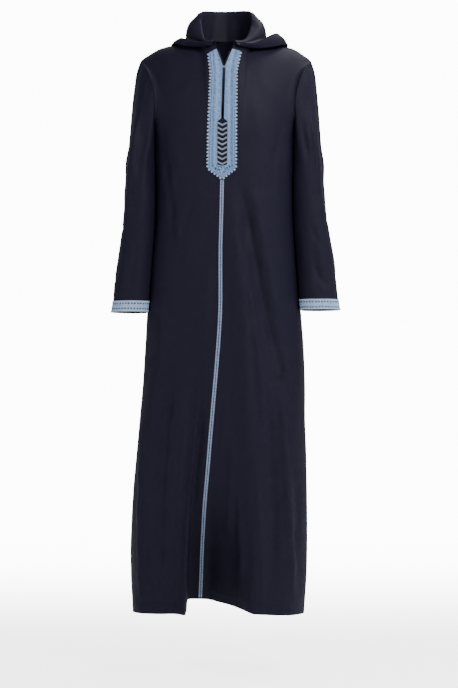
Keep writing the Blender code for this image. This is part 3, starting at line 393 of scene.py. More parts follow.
OVER_SHARE, OVER_FULL = 0.45, 0.15         # the row between crest and fullest point: place and fullness
UNDER_FULL = 0.2                           # fullness of the row half way from there to the heel
FOOT_SHARE = 0.6                           # place of the row between heel and toe
print("cuts through the hood:", len(HOOD))

# %% Read a table
def smooth_rows(table, at):
    """Read a table at any key: a smooth curve through its rows, flat beyond its ends."""
    rows = np.array(sorted(table), dtype=float)
    keys, values = rows[:, 0], rows[:, 1:]
    steps = np.diff(keys)
    rises = np.diff(values, axis=0) / steps[:, None]
    slopes = np.vstack([rises[:1], (rises[:-1] * steps[1:, None] + rises[1:] * steps[:-1, None])
                        / (steps[1:] + steps[:-1])[:, None], rises[-1:]])
    at = min(max(at, keys[0]), keys[-1])
    i = min(int(np.searchsorted(keys, at, side="right")) - 1, len(steps) - 1)
    s = (at - keys[i]) / steps[i]
    return (values[i] * (1 + 2 * s) * (1 - s) ** 2 + values[i + 1] * s * s * (3 - 2 * s)
            + steps[i] * (slopes[i] * s * (1 - s) ** 2 + slopes[i + 1] * s * s * (s - 1)))


def straight_rows(table, at):
    """Read a table along straight lines between its rows."""
    rows = np.array(sorted(table), dtype=float)
    return np.array([np.interp(at, rows[:, 0], rows[:, k]) for k in range(1, rows.shape[1])])


def centre_front(z):
    return float(smooth_rows(CENTRE_FRONT, z)[0])


def eased(value):
    value = min(max(value, 0.0), 1.0)
    return value * value * (3 - 2 * value)


def signed_power(value, power):
    return math.copysign(abs(value) ** power, value)


print("centre front at the chest, in mm:", round(centre_front(-0.26) * 1000, 1))

# %% Points of the level sections, and the folds that lift them
def section_point(z, turn):
    """A point of the level section, with turn 0 at the right side, 90 degrees in front, 180 at the left."""
    left, right, front, back = smooth_rows(SECTIONS, z)
    across, along = math.cos(turn), math.sin(turn)
    x = signed_power(across, SECTION_POWER) * (right if across > 0 else left)
    y = -signed_power(along, SECTION_POWER) * (front if along > 0 else back)
    return np.array([x, y, z])


def section_outwards(z, turn):
    """The level direction straight out of the section."""
    along = section_point(z, turn + TURN_STEP) - section_point(z, turn - TURN_STEP)
    out = np.array([-along[1], along[0], 0.0])
    point = section_point(z, turn)
    out *= math.copysign(1.0, float(out @ point))
    return out / np.linalg.norm(out)


def turn_of_x(z, x):
    """The turn at which the front of the section has this x."""
    left, right = smooth_rows(SECTIONS, z)[:2]
    return math.acos(signed_power(x / (right if x > 0 else left), 1 / SECTION_POWER))


def fold_height(folds, x, z):
    """How far the folds lift the cloth at this place."""
    total = 0.0
    for z_top, z_low, x_top, x_mid, x_low, width, height in folds:
        hem = max(z_low, HEM_LEVEL)
        s = (z_top - z) / (z_top - hem)
        if s < 0 or s > 1:
            continue
        path = x_top * (1 - s) * (1 - 2 * s) + 4 * x_mid * s * (1 - s) + x_low * s * (2 * s - 1)
        ends = eased((z_top - z) / FOLD_FADE)
        if z_low > hem - 0.001:
            ends *= eased((z - z_low) / FOLD_FADE)
        total += height * ends * math.exp(-((x - path) / width) ** 2)
    return total


print("fold over the left leg lifts the cloth by mm:", round(fold_height(FOLDS_FRONT, -0.19, -1.2) * 1000, 1))

# %% Points of the skirt
def skirt_point_front(side, column, down):
    """A point of a half front below the chest line, down 0 there and 1 at the hem."""
    hem, share = straight_rows(HEM_FRONT[side], column)
    z = CHEST_Z + (hem - CHEST_Z) * down
    start = turn_of_x(z, centre_front(z))
    turn = start + ((math.pi if side == "left" else 0.0) - start) * column
    point = section_point(z, turn)
    point += section_outwards(z, turn) * fold_height(FOLDS_FRONT, point[0], z)
    point[1] += float(smooth_rows(RECESS, z)[0]) * share
    return point


def skirt_point_back(turned, down):
    """A point of the back below the chest line, turned 0 at the left side seam and 1 at the right."""
    middle = math.sin(math.pi * turned)
    hem = HEM_BACK_SIDE_Z + (HEM_BACK_CENTRE_Z - HEM_BACK_SIDE_Z) * eased(middle)
    z = CHEST_Z + (hem - CHEST_Z) * down
    turn = math.pi * (1 + turned)
    point = section_point(z, turn)
    point += section_outwards(z, turn) * fold_height(FOLDS_BACK, point[0], z) * eased(3 * middle)
    return point


print("front hem at the side:", [round(float(value), 3) for value in skirt_point_front("right", 1.0, 1.0)])

# %% Points between the top edge and the chest line
def lean_steps():
    """Turned shares of the rows above the chest line, with rows at the V's end and the slit's ends."""
    top_z, lean = NECK_FRONT[0][3], math.radians(NECK_FRONT[0][4])

    def share(z):
        cosine = math.cos(lean) * (1 - (z - top_z) / (CHEST_Z - top_z))
        return (math.acos(cosine) - lean) / (math.pi / 2 - lean)

    v_bottom, slit_end = share(V_BOTTOM_Z), share(SLIT_END_Z)
    slit_closed = share(SLIT_END_Z - SLIT_CLOSING)
    third = (slit_end - v_bottom) / 3
    return [0.0, v_bottom / 2, v_bottom, v_bottom + third, v_bottom + 2 * third, slit_end, slit_closed,
            (slit_closed + 1) / 2, 1.0]


LEAN_STEPS = lean_steps()
V_ROW, SLIT_ROW = 2, 5
YOKE_ROWS = len(LEAN_STEPS) - 1


def yoke_point(top, low, share, column):
    """Between the top edge and the chest line the cloth turns from lying flat to hanging plumb."""
    x, y, z, lean = top
    lean = math.radians(lean)
    turn = lean + (math.pi / 2 - lean) * share
    forward = (math.sin(turn) - math.sin(lean)) / (1 - math.sin(lean))
    down = (math.cos(lean) - math.cos(turn)) / math.cos(lean)
    inwards = down + (forward - down) * min(column / SIDE_NECK_COLUMN, 1.0)
    return np.array([x + (low[0] - x) * inwards, y + (low[1] - y) * forward, z + (low[2] - z) * down])


def top_edge(side, neck, armhole, neck_places):
    """Points and leans of a half's top edge, from the centre to the underarm."""
    sign = 1 if side == "right" else -1
    rows = []
    for along in neck_places:
        x, y, z, lean = smooth_rows(neck, along)
        rows.append((sign * x + NECK_SHIFT * (1 - along if neck is NECK_FRONT else 0.0), y, z, lean))
    for step in range(SHOULDER_STEPS + 1):
        x, y, z, lean = smooth_rows(SHOULDER, step / SHOULDER_STEPS)
        rows.append((sign * x, y, z, lean))
    for step in range(1, ARMHOLE_STEPS + 1):
        along = step / ARMHOLE_STEPS
        x, y, z, lean = smooth_rows(armhole, along)
        rows.append((sign * (x + ARMHOLE_WIDER[side] * along), y, z, lean))
    return rows


print("rows above the chest line:", YOKE_ROWS)

# %% Grids of the fronts and the back
SHOULDER_COLUMNS = np.linspace(SIDE_NECK_COLUMN, SHOULDER_TIP_COLUMN, SHOULDER_STEPS + 1)


def half_grid(tops, columns, skirt_point):
    """The outer face of a half: rows from the top edge to the hem, columns from the centre out."""
    grid = np.zeros((YOKE_ROWS + SKIRT_ROWS + 1, len(columns), 3))
    for j, column in enumerate(columns):
        low = skirt_point(column, 0.0)
        for i, share in enumerate(LEAN_STEPS):
            grid[i, j] = yoke_point(tops[j], low, share, column)
        for i in range(1, SKIRT_ROWS + 1):
            grid[YOKE_ROWS + i, j] = skirt_point(column, i / SKIRT_ROWS)
    return grid


def front_grid(side):
    """A half front, with its first column moved aside along the V and the slit."""
    sign = 1 if side == "right" else -1
    starts = [place / SIDE_NECK_COLUMN for place in NECK_COLUMNS[side]]
    tops = top_edge(side, NECK_FRONT, ARMHOLE_FRONT, starts)
    columns = [*NECK_COLUMNS[side], *SHOULDER_COLUMNS, *ARMHOLE_COLUMNS]
    grid = half_grid(tops, columns, lambda column, down: skirt_point_front(side, column, down))
    edge = sign * SLIT_HALF
    opened = grid[0, 0, 0] - centre_front(grid[0, 0, 2])
    for i in range(1, YOKE_ROWS + 1):
        if i < V_ROW:
            shift = edge + (opened - edge) * (1 - i / V_ROW)
        else:
            shift = edge if i <= SLIT_ROW else 0.0
        grid[i, 0, 0] = centre_front(grid[i, 0, 2]) + shift
    return grid


def back_grid():
    """The back, with columns from the left side seam to the right one."""
    neck_places = [1 - step / BACK_NECK_STEPS for step in range(BACK_NECK_STEPS)]
    neck = np.linspace(0, SIDE_NECK_COLUMN, BACK_NECK_STEPS + 1)[:-1]
    columns = [*neck, *SHOULDER_COLUMNS, *ARMHOLE_COLUMNS]
    halves = []
    for side, sign in (("left", -1), ("right", 1)):
        tops = top_edge(side, NECK_BACK, ARMHOLE_BACK, neck_places)
        halves.append(half_grid(tops, columns, lambda column, down: skirt_point_back(
            0.5 + sign * column / 2, down)))
    return np.concatenate([halves[0][:, ::-1], halves[1][:, 1:]], axis=1)


left, right, back = front_grid("left"), front_grid("right"), back_grid()
print("points of a half front:", left.shape[:2], "and of the back:", back.shape[:2])

# %% Grids of the sleeves
def with_midpoints(points, closed):
    """The points with one more half way along each straight between them."""
    after = np.roll(points, -1, axis=0) if closed else points[1:]
    middles = (points[:len(after)] + after) / 2
    both = np.empty((len(points) + len(after), points.shape[1]))
    both[0::2] = points
    both[1::2] = middles
    return both


def armhole_loop(side, front, back):
    """The armhole's points from the shoulder tip down the front to the underarm and up the back."""
    first = NECK_STEPS + SHOULDER_STEPS
    down = front[0, first:]
    across = back[0] if side == "right" else back[0][::-1]
    up = across[-1 - ARMHOLE_STEPS:][::-1]
    return np.vstack([down, up[1:-1]])


def sleeve_fold(row, turn):
    total = 0.0
    for row_top, row_low, turn_top, turn_low, width, height in FOLDS_SLEEVE:
        s = (row - row_top) / (row_low - row_top)
        if 0 < s < 1:
            away = (turn - (turn_top + (turn_low - turn_top) * s) + 180) % 360 - 180
            total += height * math.sin(math.pi * s) * math.exp(-(away / width) ** 2)
    return total


def side_of_body(side, z, y):
    """How far out the body's section reaches at this depth."""
    left, right, front, back = smooth_rows(SECTIONS, z)
    along = min(abs(y) / (front if y < 0 else back), 1.0) ** (1 / SECTION_POWER)
    return (left if side == "left" else right) * (1 - along * along) ** (SECTION_POWER / 2)


def sleeve_grid(side, front, back):
    """The outer face of a sleeve: rings from the armhole to the cuff edge."""
    sign = 1 if side == "right" else -1
    loop = with_midpoints(armhole_loop(side, front, back), closed=True)
    around = len(loop)
    turns = [2 * math.pi * k / around for k in range(around)]
    rings = []
    rows = SLEEVE_ROWS[side]
    for number, (z, outer, middle_y, deep) in enumerate(rows):
        body = smooth_rows(SECTIONS, z)[0 if side == "left" else 1]
        inner = body - SLEEVE_LAP
        middle_x, half = (outer + inner) / 2, (outer - inner) / 2
        tilt = CUFF_TILT * eased(number / (len(rows) - 1))
        ring = []
        for turn in turns:
            lift = sleeve_fold(number + len(SLEEVE_HEAD), math.degrees(turn))
            towards_body = eased(-NEAR_BODY * math.cos(turn))
            lift *= 1 - towards_body
            across = math.cos(turn)
            along = signed_power(math.sin(turn), SLEEVE_POWER)
            y = middle_y - (deep + lift) * along
            x = max(middle_x + (half + lift) * across, side_of_body(side, z, y) + SLEEVE_CLEAR)
            ring.append((sign * x, y, z + tilt * math.sin(turn)))
        rings.append(ring)
    first = np.array(rings[0])
    head = []
    for number, share in enumerate(SLEEVE_HEAD):
        ring = loop + (first - loop) * share
        for k, turn in enumerate(turns):
            full = SLEEVE_HEAD_FULL * math.sin(math.pi * math.sqrt(share)) * max(0.0, math.cos(turn))
            lift = sleeve_fold(number, math.degrees(turn)) * (1 - eased(-NEAR_BODY * math.cos(turn)))
            ring[k] += np.array([sign * (full + lift * math.cos(turn)), -lift * math.sin(turn), 0.0])
        head.append(ring)
    return np.array(head + [np.array(ring) for ring in rings])


sleeves = {side: sleeve_grid(side, front, back) for side, front in (("left", left), ("right", right))}
print("rings and points of a sleeve:", sleeves["left"].shape[:2])

# %% Grid of the hood
def hood_grid(front_left, front_right, back):
    """The side of the hood's cloth that faces away from the neck, rows from the neckline to the rim."""
    back_first = ARMHOLE_STEPS + SHOULDER_STEPS
    neck = np.vstack([front_left[0, :NECK_STEPS + 1],
                      back[0, back_first + 1:back_first + 2 * BACK_NECK_STEPS],
                      front_right[0, :NECK_STEPS + 1][::-1]])
    seam = with_midpoints(neck, closed=False)
    table = [(place, *np.array(cut) / 1000) for place, *cut in HOOD]
    columns = []
    for k, start in enumerate(seam):
        crest, heel, toe, rim = smooth_rows(table, k / 2).reshape(4, 3)
        out = toe - crest
        out[2] = 0.0
        out /= np.linalg.norm(out)
        full = min(FALL_FULL_SHARE * np.linalg.norm(heel - crest), FALL_FULL)
        fall = crest + (heel - crest) * FALL_MIDDLE + out * full
        fall[2] += FALL_LIFT * full
        rise = (toe + rim) / 2 + out * RIM_FULL * min(np.linalg.norm(rim - toe), RIM_FULL_REACH)
        stand = [start + (crest - start) * share for share in STAND_SHARES]
        over = crest + (fall - crest) * OVER_SHARE + out * OVER_FULL * full
        under = (fall + heel) / 2 + out * UNDER_FULL * full
        foot = heel + (toe - heel) * FOOT_SHARE
        columns.append([start] + stand + [crest, over, fall, under, heel, foot, toe, (toe + rise) / 2,
                                          rise, rim])
    return np.array(columns).transpose(1, 0, 2)


hood = hood_grid(left, right, back)
print("rows and columns of the hood:", hood.shape[:2])

# %% Directions out of the cloth, and the gaps at the seams
def face_normals(grid, closed, outward):
    """Sum of the neighbouring faces' directions at each point of a grid; outward is 1 or -1."""
    rows, columns = grid.shape[:2]
    total = np.zeros_like(grid)
    for i in range(rows - 1):
        for j in range(columns if closed else columns - 1):
            k = (j + 1) % columns
            one, two = grid[i + 1, k] - grid[i, j], grid[i + 1, j] - grid[i, k]
            area = np.cross(one, two) * outward
            for a, b in ((i, j), (i, k), (i + 1, j), (i + 1, k)):
                total[a, b] += area
    return total


def shared_normals(sheets):
    """Directions out of the cloth, the same on both sides of every seam.

    The fronts and the back count as one cloth, so body and sleeve weigh the same at the armhole."""
    tubes = {}
    for name, (grid, closed, outward) in sheets.items():
        tube = tubes.setdefault("body" if name.startswith(("front", "back")) else name, {})
        for place, area in zip(grid.reshape(-1, 3), face_normals(grid, closed, outward).reshape(-1, 3)):
            key = tuple(np.round(place, 6))
            tube[key] = tube.get(key, 0) + area
    normals = {}
    for name, (grid, closed, outward) in sheets.items():
        keys = [tuple(np.round(place, 6)) for place in grid.reshape(-1, 3)]
        flat = [sum(unit(tube[key]) for tube in tubes.values() if key in tube) for key in keys]
        normals[name] = unit(np.array(flat)).reshape(grid.shape)
    for name in ("sleeve_left", "sleeve_right", "hood"):
        seam = normals[name][0]
        after = np.array([seam[(2 * k + 2) % len(seam)] for k in range(len(seam[1::2]))])
        seam[1::2] = unit(seam[0::2][:len(after)] + after)
    return normals


def unit(vectors):
    return vectors / np.linalg.norm(vectors, axis=-1)[..., None]


SIDE_SEAM = SEAM * 0.15    # the cloth's long seams are closer than the solids', so no light shows through


def drawn_in(grid, top, sides=True):
    """The grid with its top and its sides drawn in by the seams' clearances."""
    drawn = grid.copy()
    if sides:
        drawn[:, 0] += SIDE_SEAM * unit(grid[:, 1] - grid[:, 0])
        drawn[:, -1] += SIDE_SEAM * unit(grid[:, -2] - grid[:, -1])
    drawn[0, top] += SEAM * unit(grid[1, top] - grid[0, top])
    return drawn


def armhole_parting(side, front, back, sleeve, sleeve_normals):
    """At each point of the armhole, the step that parts the sleeve from the body."""
    loop = armhole_loop(side, front, back)
    along = unit(np.roll(loop, -1, axis=0) - np.roll(loop, 1, axis=0))
    parting = unit(np.cross(sleeve_normals[0][::2], along))
    body_next = armhole_loop(side, front[1:], back[1:])
    towards_sleeve = np.sum(parting * (sleeve[1][::2] - body_next), axis=1)
    return SEAM * parting * np.sign(towards_sleeve)[:, None]


def part_armhole(side, front, back, sleeve, parting):
    """Move body and sleeve apart along the armhole seam."""
    first = NECK_STEPS + SHOULDER_STEPS
    front[0, first:] -= parting[:ARMHOLE_STEPS + 1]
    up = np.vstack([parting[ARMHOLE_STEPS:], parting[:1]])
    if side == "right":
        back[0, -1 - ARMHOLE_STEPS:] -= up[::-1]
    else:
        back[0, :ARMHOLE_STEPS + 1] -= up
    sleeve[0] += with_midpoints(parting, closed=True)


SHEETS = {
    "front_left": (left, False, 1), "front_right": (right, False, -1), "back": (back, False, 1),
    "sleeve_left": (sleeves["left"], True, -1), "sleeve_right": (sleeves["right"], True, 1),
    "hood": (hood, False, -1),
}


def parted_sheets():
    """The grids of all cut pieces, drawn apart at their seams as the solids are."""
    normals = shared_normals(SHEETS)
    half_top = slice(0, NECK_STEPS + SHOULDER_STEPS + 1)
    back_top = slice(ARMHOLE_STEPS, back.shape[1] - ARMHOLE_STEPS)
    drawn = {
        "front_left": drawn_in(left, half_top), "front_right": drawn_in(right, half_top),
        "back": drawn_in(back, back_top),
        "sleeve_left": sleeves["left"].copy(), "sleeve_right": sleeves["right"].copy(),
        "hood": drawn_in(hood, slice(None), sides=False),
    }
    for side, front in (("left", left), ("right", right)):
        sleeve = "sleeve_" + side
        parting = armhole_parting(side, front, back, sleeves[side], normals[sleeve])
        part_armhole(side, drawn["front_" + side], drawn["back"], drawn[sleeve], parting)
    return drawn


SEAM_EASE = (1.0, 0.6, 0.25)   # shares of a side seam's step, taken by the front's last columns
SEAM_STEP_MOST = 0.003         # no row is moved further than this
WHOLE_ROWS = 2                 # rows at the top that stay as they are


def close_side_seam(front, back_edge):
    """Bring the front's last columns to the back's edge, so that the side seam meets all the way down."""
    for row in range(WHOLE_ROWS, len(front)):
        nearest = back_edge[np.argmin(np.abs(back_edge[:, 2] - front[row, -1, 2]))]
        step = np.clip(nearest[0] - front[row, -1, 0], -SEAM_STEP_MOST, SEAM_STEP_MOST)
        for column, share in enumerate(SEAM_EASE, start=1):
            front[row, -column, 0] += step * share


drawn = parted_sheets()
close_side_seam(drawn["front_left"], drawn["back"][:, 0])
close_side_seam(drawn["front_right"], drawn["back"][:, -1])
for name, grid in drawn.items():
    low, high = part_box(name)
    points = grid.reshape(-1, 3)
    reach = max(np.abs(points.min(0) - low).max(), np.abs(points.max(0) - high).max())
    print(name, grid.shape[:2], "off its solid's box by mm:", round(float(reach) * 1000, 2))

# %% [markdown]
# ## From coarse rows to smooth cloth
#
# The solids are coarse on purpose. The cloth needs points about every 4 to 9 mm to carry soft creases,
# so each grid is filled in with smooth curves through its points. The curves' slopes are held back
# where one row lies much nearer than the next, because a free curve would swing past the slit's edge.

# %% Fill in a grid with smooth curves
SLOPE_FREE = 0.08
ROW_GAP, MOST_ROWS = 0.0085, 14
COLUMN_GAP, MOST_COLUMNS = 0.004, 8


def filled_rows(grid, gap, most):
    """The grid with more rows, so that they lie about gap apart, and the new place of each old row."""
    steps = np.linalg.norm(np.diff(grid, axis=0), axis=2).mean(axis=1)
    wide = steps[:, None, None]
    rises = np.diff(grid, axis=0) / wide
    middle = (rises[:-1] * wide[1:] + rises[1:] * wide[:-1]) / (wide[1:] + wide[:-1])
    limit = 3 * np.minimum(np.abs(rises[:-1]), np.abs(rises[1:])) + SLOPE_FREE
    slopes = np.concatenate([rises[:1], np.clip(middle, -limit, limit), rises[-1:]])
    rows, places = [], []
    for i, step in enumerate(steps):
        places.append(len(rows))
        parts = int(min(max(round(step / gap), 2), most))
        for part in range(parts):
            s = part / parts
            rows.append(grid[i] * (1 + 2 * s) * (1 - s) ** 2 + grid[i + 1] * s * s * (3 - 2 * s)
                        + step * (slopes[i] * s * (1 - s) ** 2 + slopes[i + 1] * s * s * (s - 1)))
    places.append(len(rows))
    rows.append(grid[-1])
    return np.array(rows), places


def filled(grid, closed):
    """The grid filled in both ways, and the new place of each old row."""
    rows, row_places = filled_rows(grid, ROW_GAP, MOST_ROWS)
    turned = rows.transpose(1, 0, 2)
    if closed:
        turned = np.concatenate([turned[-3:], turned, turned[:4]])
    columns, places = filled_rows(turned, COLUMN_GAP, MOST_COLUMNS)
    if closed:
        columns = columns[places[3]:places[-4]]
    return columns.transpose(1, 0, 2), row_places


def sheet_normals(grid, closed, outward):
    """Directions out of a fine grid."""
    down = np.gradient(grid, axis=0)
    if closed:
        across = (np.roll(grid, -1, axis=1) - np.roll(grid, 1, axis=1)) / 2
    else:
        across = np.gradient(grid, axis=1)
    return unit(np.cross(across, down)) * outward


fine, row_places = {}, {}
for name, (grid, closed, outward) in SHEETS.items():
    fine[name], row_places[name] = filled(drawn[name], closed)
    print(name, "filled in to", fine[name].shape[:2])

# %% [markdown]
# ## Creases laid one by one
#
# The main folds are in the solids. Between them worn cloth shows softer, uneven creases: drag lines
# from the armholes and the corners of the needlework, broken lines at the elbows, short ripples above
# the hem. Each one is a line in a front, back or side view, with a width and a height, and a slow wave
# along it so that no two places are alike. Heights below zero are troughs.

# %% Write down the creases
CREASES = (
    # in millimetres: view, half width, height, points as (across, z)
    ("front", 7.5, -2.6, (30, -335), (49, -402), (67, -502), (84, -600), (99, -668), (122, -745),
     (136, -810)),
    ("front", 13, 1.8, (40, -300), (70, -390), (95, -500), (115, -610), (140, -700)),
    ("front", 10, 1.6, (18, -360), (34, -520), (48, -700), (52, -900)),
    ("front", 11, -1.6, (150, -150), (128, -215), (112, -300), (104, -390)),
    ("front", 8, 1.4, (158, -190), (146, -260), (140, -350)),
    ("front", 13, 1.2, (70, -60), (94, -110), (126, -155)),
    ("front", 14, 1.2, (60, -100), (72, -180), (78, -270)),
    ("front", 7, -2.5, (150, -780), (122, -800), (90, -806)),
    ("front", 7, 2.3, (158, -700), (140, -760), (128, -850)),
    ("front", 4, -1.2, (20, -1034), (80, -1026), (150, -1030)),
    ("front", 12, -3.3, (90, -820), (104, -960), (112, -1120), (108, -1290)),
    ("front", 10, 2.7, (20, -900), (12, -1050), (6, -1200)),
    ("front", 8, 3, (28, -1020), (34, -1150), (42, -1340)),
    ("front", 7, 2.4, (72, -1020), (82, -1180), (86, -1340)),
    ("front", 8, 3.3, (128, -800), (139, -980), (147, -1107), (160, -1330)),
    ("front", 8, 2.2, (40, -470), (70, -699), (100, -990)),
    ("front", 9, -3, (158, -960), (170, -1090), (166, -1250)),
    ("front", 6, 1.5, (4, -800), (-4, -900), (-20, -1010)),
    ("front", 9, -1.8, (-48, -305), (-78, -372), (-100, -452), (-112, -560)),
    ("front", 11, 1.6, (-150, -180), (-126, -240), (-100, -318), (-84, -400)),
    ("front", 9, -2, (-158, -215), (-142, -290), (-128, -400), (-122, -520)),
    ("front", 13, 1.2, (-64, -70), (-94, -115), (-130, -160)),
    ("front", 14, -1, (-70, -110), (-82, -190), (-86, -270)),
    ("front", 11, 1.6, (-30, -460), (-46, -600), (-56, -740)),
    ("front", 6, -2.1, (-150, -620), (-120, -660), (-88, -668)),
    ("front", 9, 1.8, (-158, -560), (-150, -700), (-160, -830)),
    ("front", 10, -3.6, (-118, -760), (-140, -900), (-152, -1080), (-154, -1300)),
    ("front", 8, 3, (-88, -860), (-104, -1000), (-112, -1180), (-116, -1340)),
    ("front", 8, 2.4, (-186, -1060), (-176, -1200), (-170, -1340)),
    ("front", 7, 3.3, (-190, -640), (-201, -860), (-203, -1110), (-198, -1345)),
    ("front", 7, -2.1, (-52, -820), (-58, -930), (-68, -1040)),
    ("back", 12, 2.2, (-130, -200), (-100, -300), (-86, -430)),
    ("back", 12, 2.2, (134, -190), (106, -300), (94, -440)),
    ("back", 12, -1.8, (-60, -330), (0, -346), (62, -336)),
    ("back", 10, -2.6, (-105, -400), (-88, -560), (-90, -760), (-100, -980)),
    ("back", 10, 2.4, (50, -420), (54, -640), (50, -900), (56, -1200)),
    ("back", 9, -2.6, (-20, -480), (-14, -700), (-10, -960), (-14, -1300)),
    ("back", 9, -2.6, (112, -560), (108, -780), (104, -1010), (108, -1320)),
    ("back", 10, -2.4, (-150, -640), (-164, -860), (-176, -1120), (-176, -1330)),
    ("back", 8, 2.2, (-86, -980), (-80, -1140), (-84, -1320)),
    ("back", 9, 2.2, (148, -820), (164, -1020), (160, -1300)),
    ("back", 6, -1.2, (20, -900), (40, -930), (74, -936)),
    ("front", 7, -2.2, (186, -80), (196, -160), (205, -260), (212, -340)),
    ("front", 8, 2, (214, -100), (220, -200), (224, -300)),
    ("front", 5.5, -2.2, (236, -340), (222, -362), (200, -372)),
    ("front", 6, 1.8, (238, -376), (226, -396), (206, -412)),
    ("front", 6.5, -1.8, (196, -420), (214, -470), (236, -500)),
    ("front", 6, -1.8, (206, -520), (222, -560), (246, -578)),
    ("front", 6, 1.4, (210, -560), (232, -588), (256, -594)),
    ("front", 7.5, -2.4, (-190, -90), (-200, -180), (-206, -290), (-210, -380)),
    ("front", 8, 2.2, (-216, -120), (-222, -230), (-230, -350), (-240, -470)),
    ("front", 6, -1.8, (-238, -330), (-224, -360), (-200, -380)),
    ("front", 6, -1.8, (-198, -430), (-220, -470), (-244, -486)),
    ("front", 6, -1.8, (-206, -540), (-228, -572), (-252, -582)),
    ("front", 7, 1.6, (-246, -500), (-238, -560), (-236, -606)),
    ("back", 8, -2.6, (186, -110), (200, -220), (212, -330)),
    ("back", 6, -2.2, (236, -360), (216, -384), (190, -392)),
    ("back", 6, 2, (196, -470), (222, -500), (246, -520)),
    ("back", 8, -2.6, (-190, -110), (-204, -220), (-214, -340)),
    ("back", 6, -2.2, (-238, -370), (-220, -392), (-194, -402)),
    ("back", 6, 2, (-200, -480), (-226, -512), (-250, -530)),
    ("right", 10, 2.2, (-50, -140), (-20, -260), (10, -400)),
    ("right", 10, -2.4, (46, -180), (34, -320), (20, -440), (4, -560)),
    ("right", 6, -2.2, (-50, -400), (-20, -420), (20, -416)),
    ("right", 6, -1.8, (-66, -520), (-40, -548), (-4, -556)),
    ("left", 10, 2.2, (-50, -150), (-22, -270), (6, -410)),
    ("left", 10, -2.4, (46, -180), (34, -320), (20, -440), (2, -570)),
    ("left", 6, -2.2, (-52, -420), (-22, -440), (18, -434)),
    ("left", 6, -1.8, (-68, -530), (-42, -556), (-6, -566)),
)
VIEWS = {"front": (0, (0, -1)), "back": (0, (0, 1)), "right": (1, (1, 0)), "left": (1, (-1, 0))}
print("creases:", len(CREASES))

# %% Press the creases into a sheet
CREASE_FADE = 0.1
CREASE_PRESS = 1.65       # how strongly the creases of the table are pressed in
WAVE_LENGTH, WAVE_SWING = 0.085, 0.28      # of the slow wave along a crease
FACING_LOW, FACING_SPAN = 0.15, 0.45       # a crease grows with how far the cloth faces its view
RIPPLES = (
    # wave along x, y, z in radians per metre, phase, height
    (46.0, 31.0, 13.0, 0.3, 0.00032), (-33.0, 52.0, 17.0, 1.7, 0.0003), (71.0, -44.0, 29.0, 4.1, 0.00022),
    (97.0, 63.0, -38.0, 2.6, 0.00015), (-120.0, 85.0, 52.0, 5.2, 0.00011),
)
STILL_MIDDLE_X, STILL_HALF_X = -0.008, 0.052      # the needlework keeps the cloth still behind it
STILL_LOW_Z = -0.33
STILL_EDGE, STILL_FOOT = 0.03, 0.05         # width in which the creases start again


def crease_lift(points, normals, views):
    """How far the creases of these views lift each point of the cloth."""
    total = np.zeros(len(points))
    for number, (view, width, height, *line) in enumerate(CREASES):
        if view not in views:
            continue
        axis, (nx, ny) = VIEWS[view]
        faces = np.clip((normals[:, 0] * nx + normals[:, 1] * ny - FACING_LOW) / FACING_SPAN, 0, 1)
        place = points[:, (axis, 2)]
        width, height, line = width / 1000, height / 1000, np.array(line) / 1000
        lengths = np.linalg.norm(np.diff(line, axis=0), axis=1)
        ends = np.concatenate([[0], np.cumsum(lengths)])
        nearest, along = np.full(len(points), 1.0), np.zeros(len(points))
        for start, finish, begin, length in zip(line[:-1], line[1:], ends, lengths):
            way = (finish - start) / length
            share = np.clip((place - start) @ way, 0, length)
            away = np.linalg.norm(place - start - share[:, None] * way, axis=1)
            closer = away < nearest
            nearest = np.where(closer, away, nearest)
            along = np.where(closer, begin + share, along)
        fade = np.minimum(along, ends[-1] - along) / min(CREASE_FADE, ends[-1] / 2)
        fade = np.clip(fade, 0, 1) ** 2 * (3 - 2 * np.clip(fade, 0, 1))
        uneven = 1 + WAVE_SWING * np.sin(along / WAVE_LENGTH * 2 * math.pi + number * 1.9)
        shape = np.exp(-(nearest / (width * (0.85 + 0.15 * uneven))) ** 2)
        total += CREASE_PRESS * height * uneven * fade * faces * shape
    return total


def rippled(points):
    """A slow unevenness all over the cloth."""
    total = np.zeros(len(points))
    for wave_x, wave_y, wave_z, phase, height in RIPPLES:
        total += height * np.sin(points @ np.array([wave_x, wave_y, wave_z]) + phase)
    return total


def pressed(grid, closed, outward, views):
    """The sheet with its ripples and the creases of these views."""
    flat = grid.reshape(-1, 3)
    normals = sheet_normals(grid, closed, outward).reshape(-1, 3)
    lift = rippled(flat)
    if views:
        lift += crease_lift(flat, normals, views)
        beside = np.clip((np.abs(flat[:, 0] - STILL_MIDDLE_X) - STILL_HALF_X) / STILL_EDGE, 0, 1)
        below = np.clip((STILL_LOW_Z - flat[:, 2]) / STILL_FOOT, 0, 1)
        lift *= np.maximum(np.maximum(beside, below), flat[:, 1] > 0)
    return (flat + normals * lift[:, None]).reshape(grid.shape)


creased = {}
for name, (grid, closed, outward) in SHEETS.items():
    views = () if name == "hood" else ("front", "back", name[7:]) if closed else ("front", "back")
    creased[name] = pressed(fine[name], closed, outward, views)
    moved = np.linalg.norm(creased[name] - fine[name], axis=2)
    print(name, "creases move the cloth by mm, at most:", round(float(moved.max()) * 1000, 2))

# %% [markdown]
# ## Cloth with two faces
#
# Each sheet becomes a wall a little over a millimetre thick: the outer face, an inner face moved
# straight in, and narrow rims. Every piece gets its own flat coordinates in metres, across and along
# the grain, so that the weave runs with the cloth, and it stores how far each point is from the hem
# and from the nearest sewn edge. The finish uses these for stitch lines and puckers.

# %% Build a wall from a sheet
CLOTH_THIN = 0.0012


def link(name, mesh):
    piece = bpy.data.objects.new(name, mesh)
    bpy.context.scene.collection.objects.link(piece)
    return piece


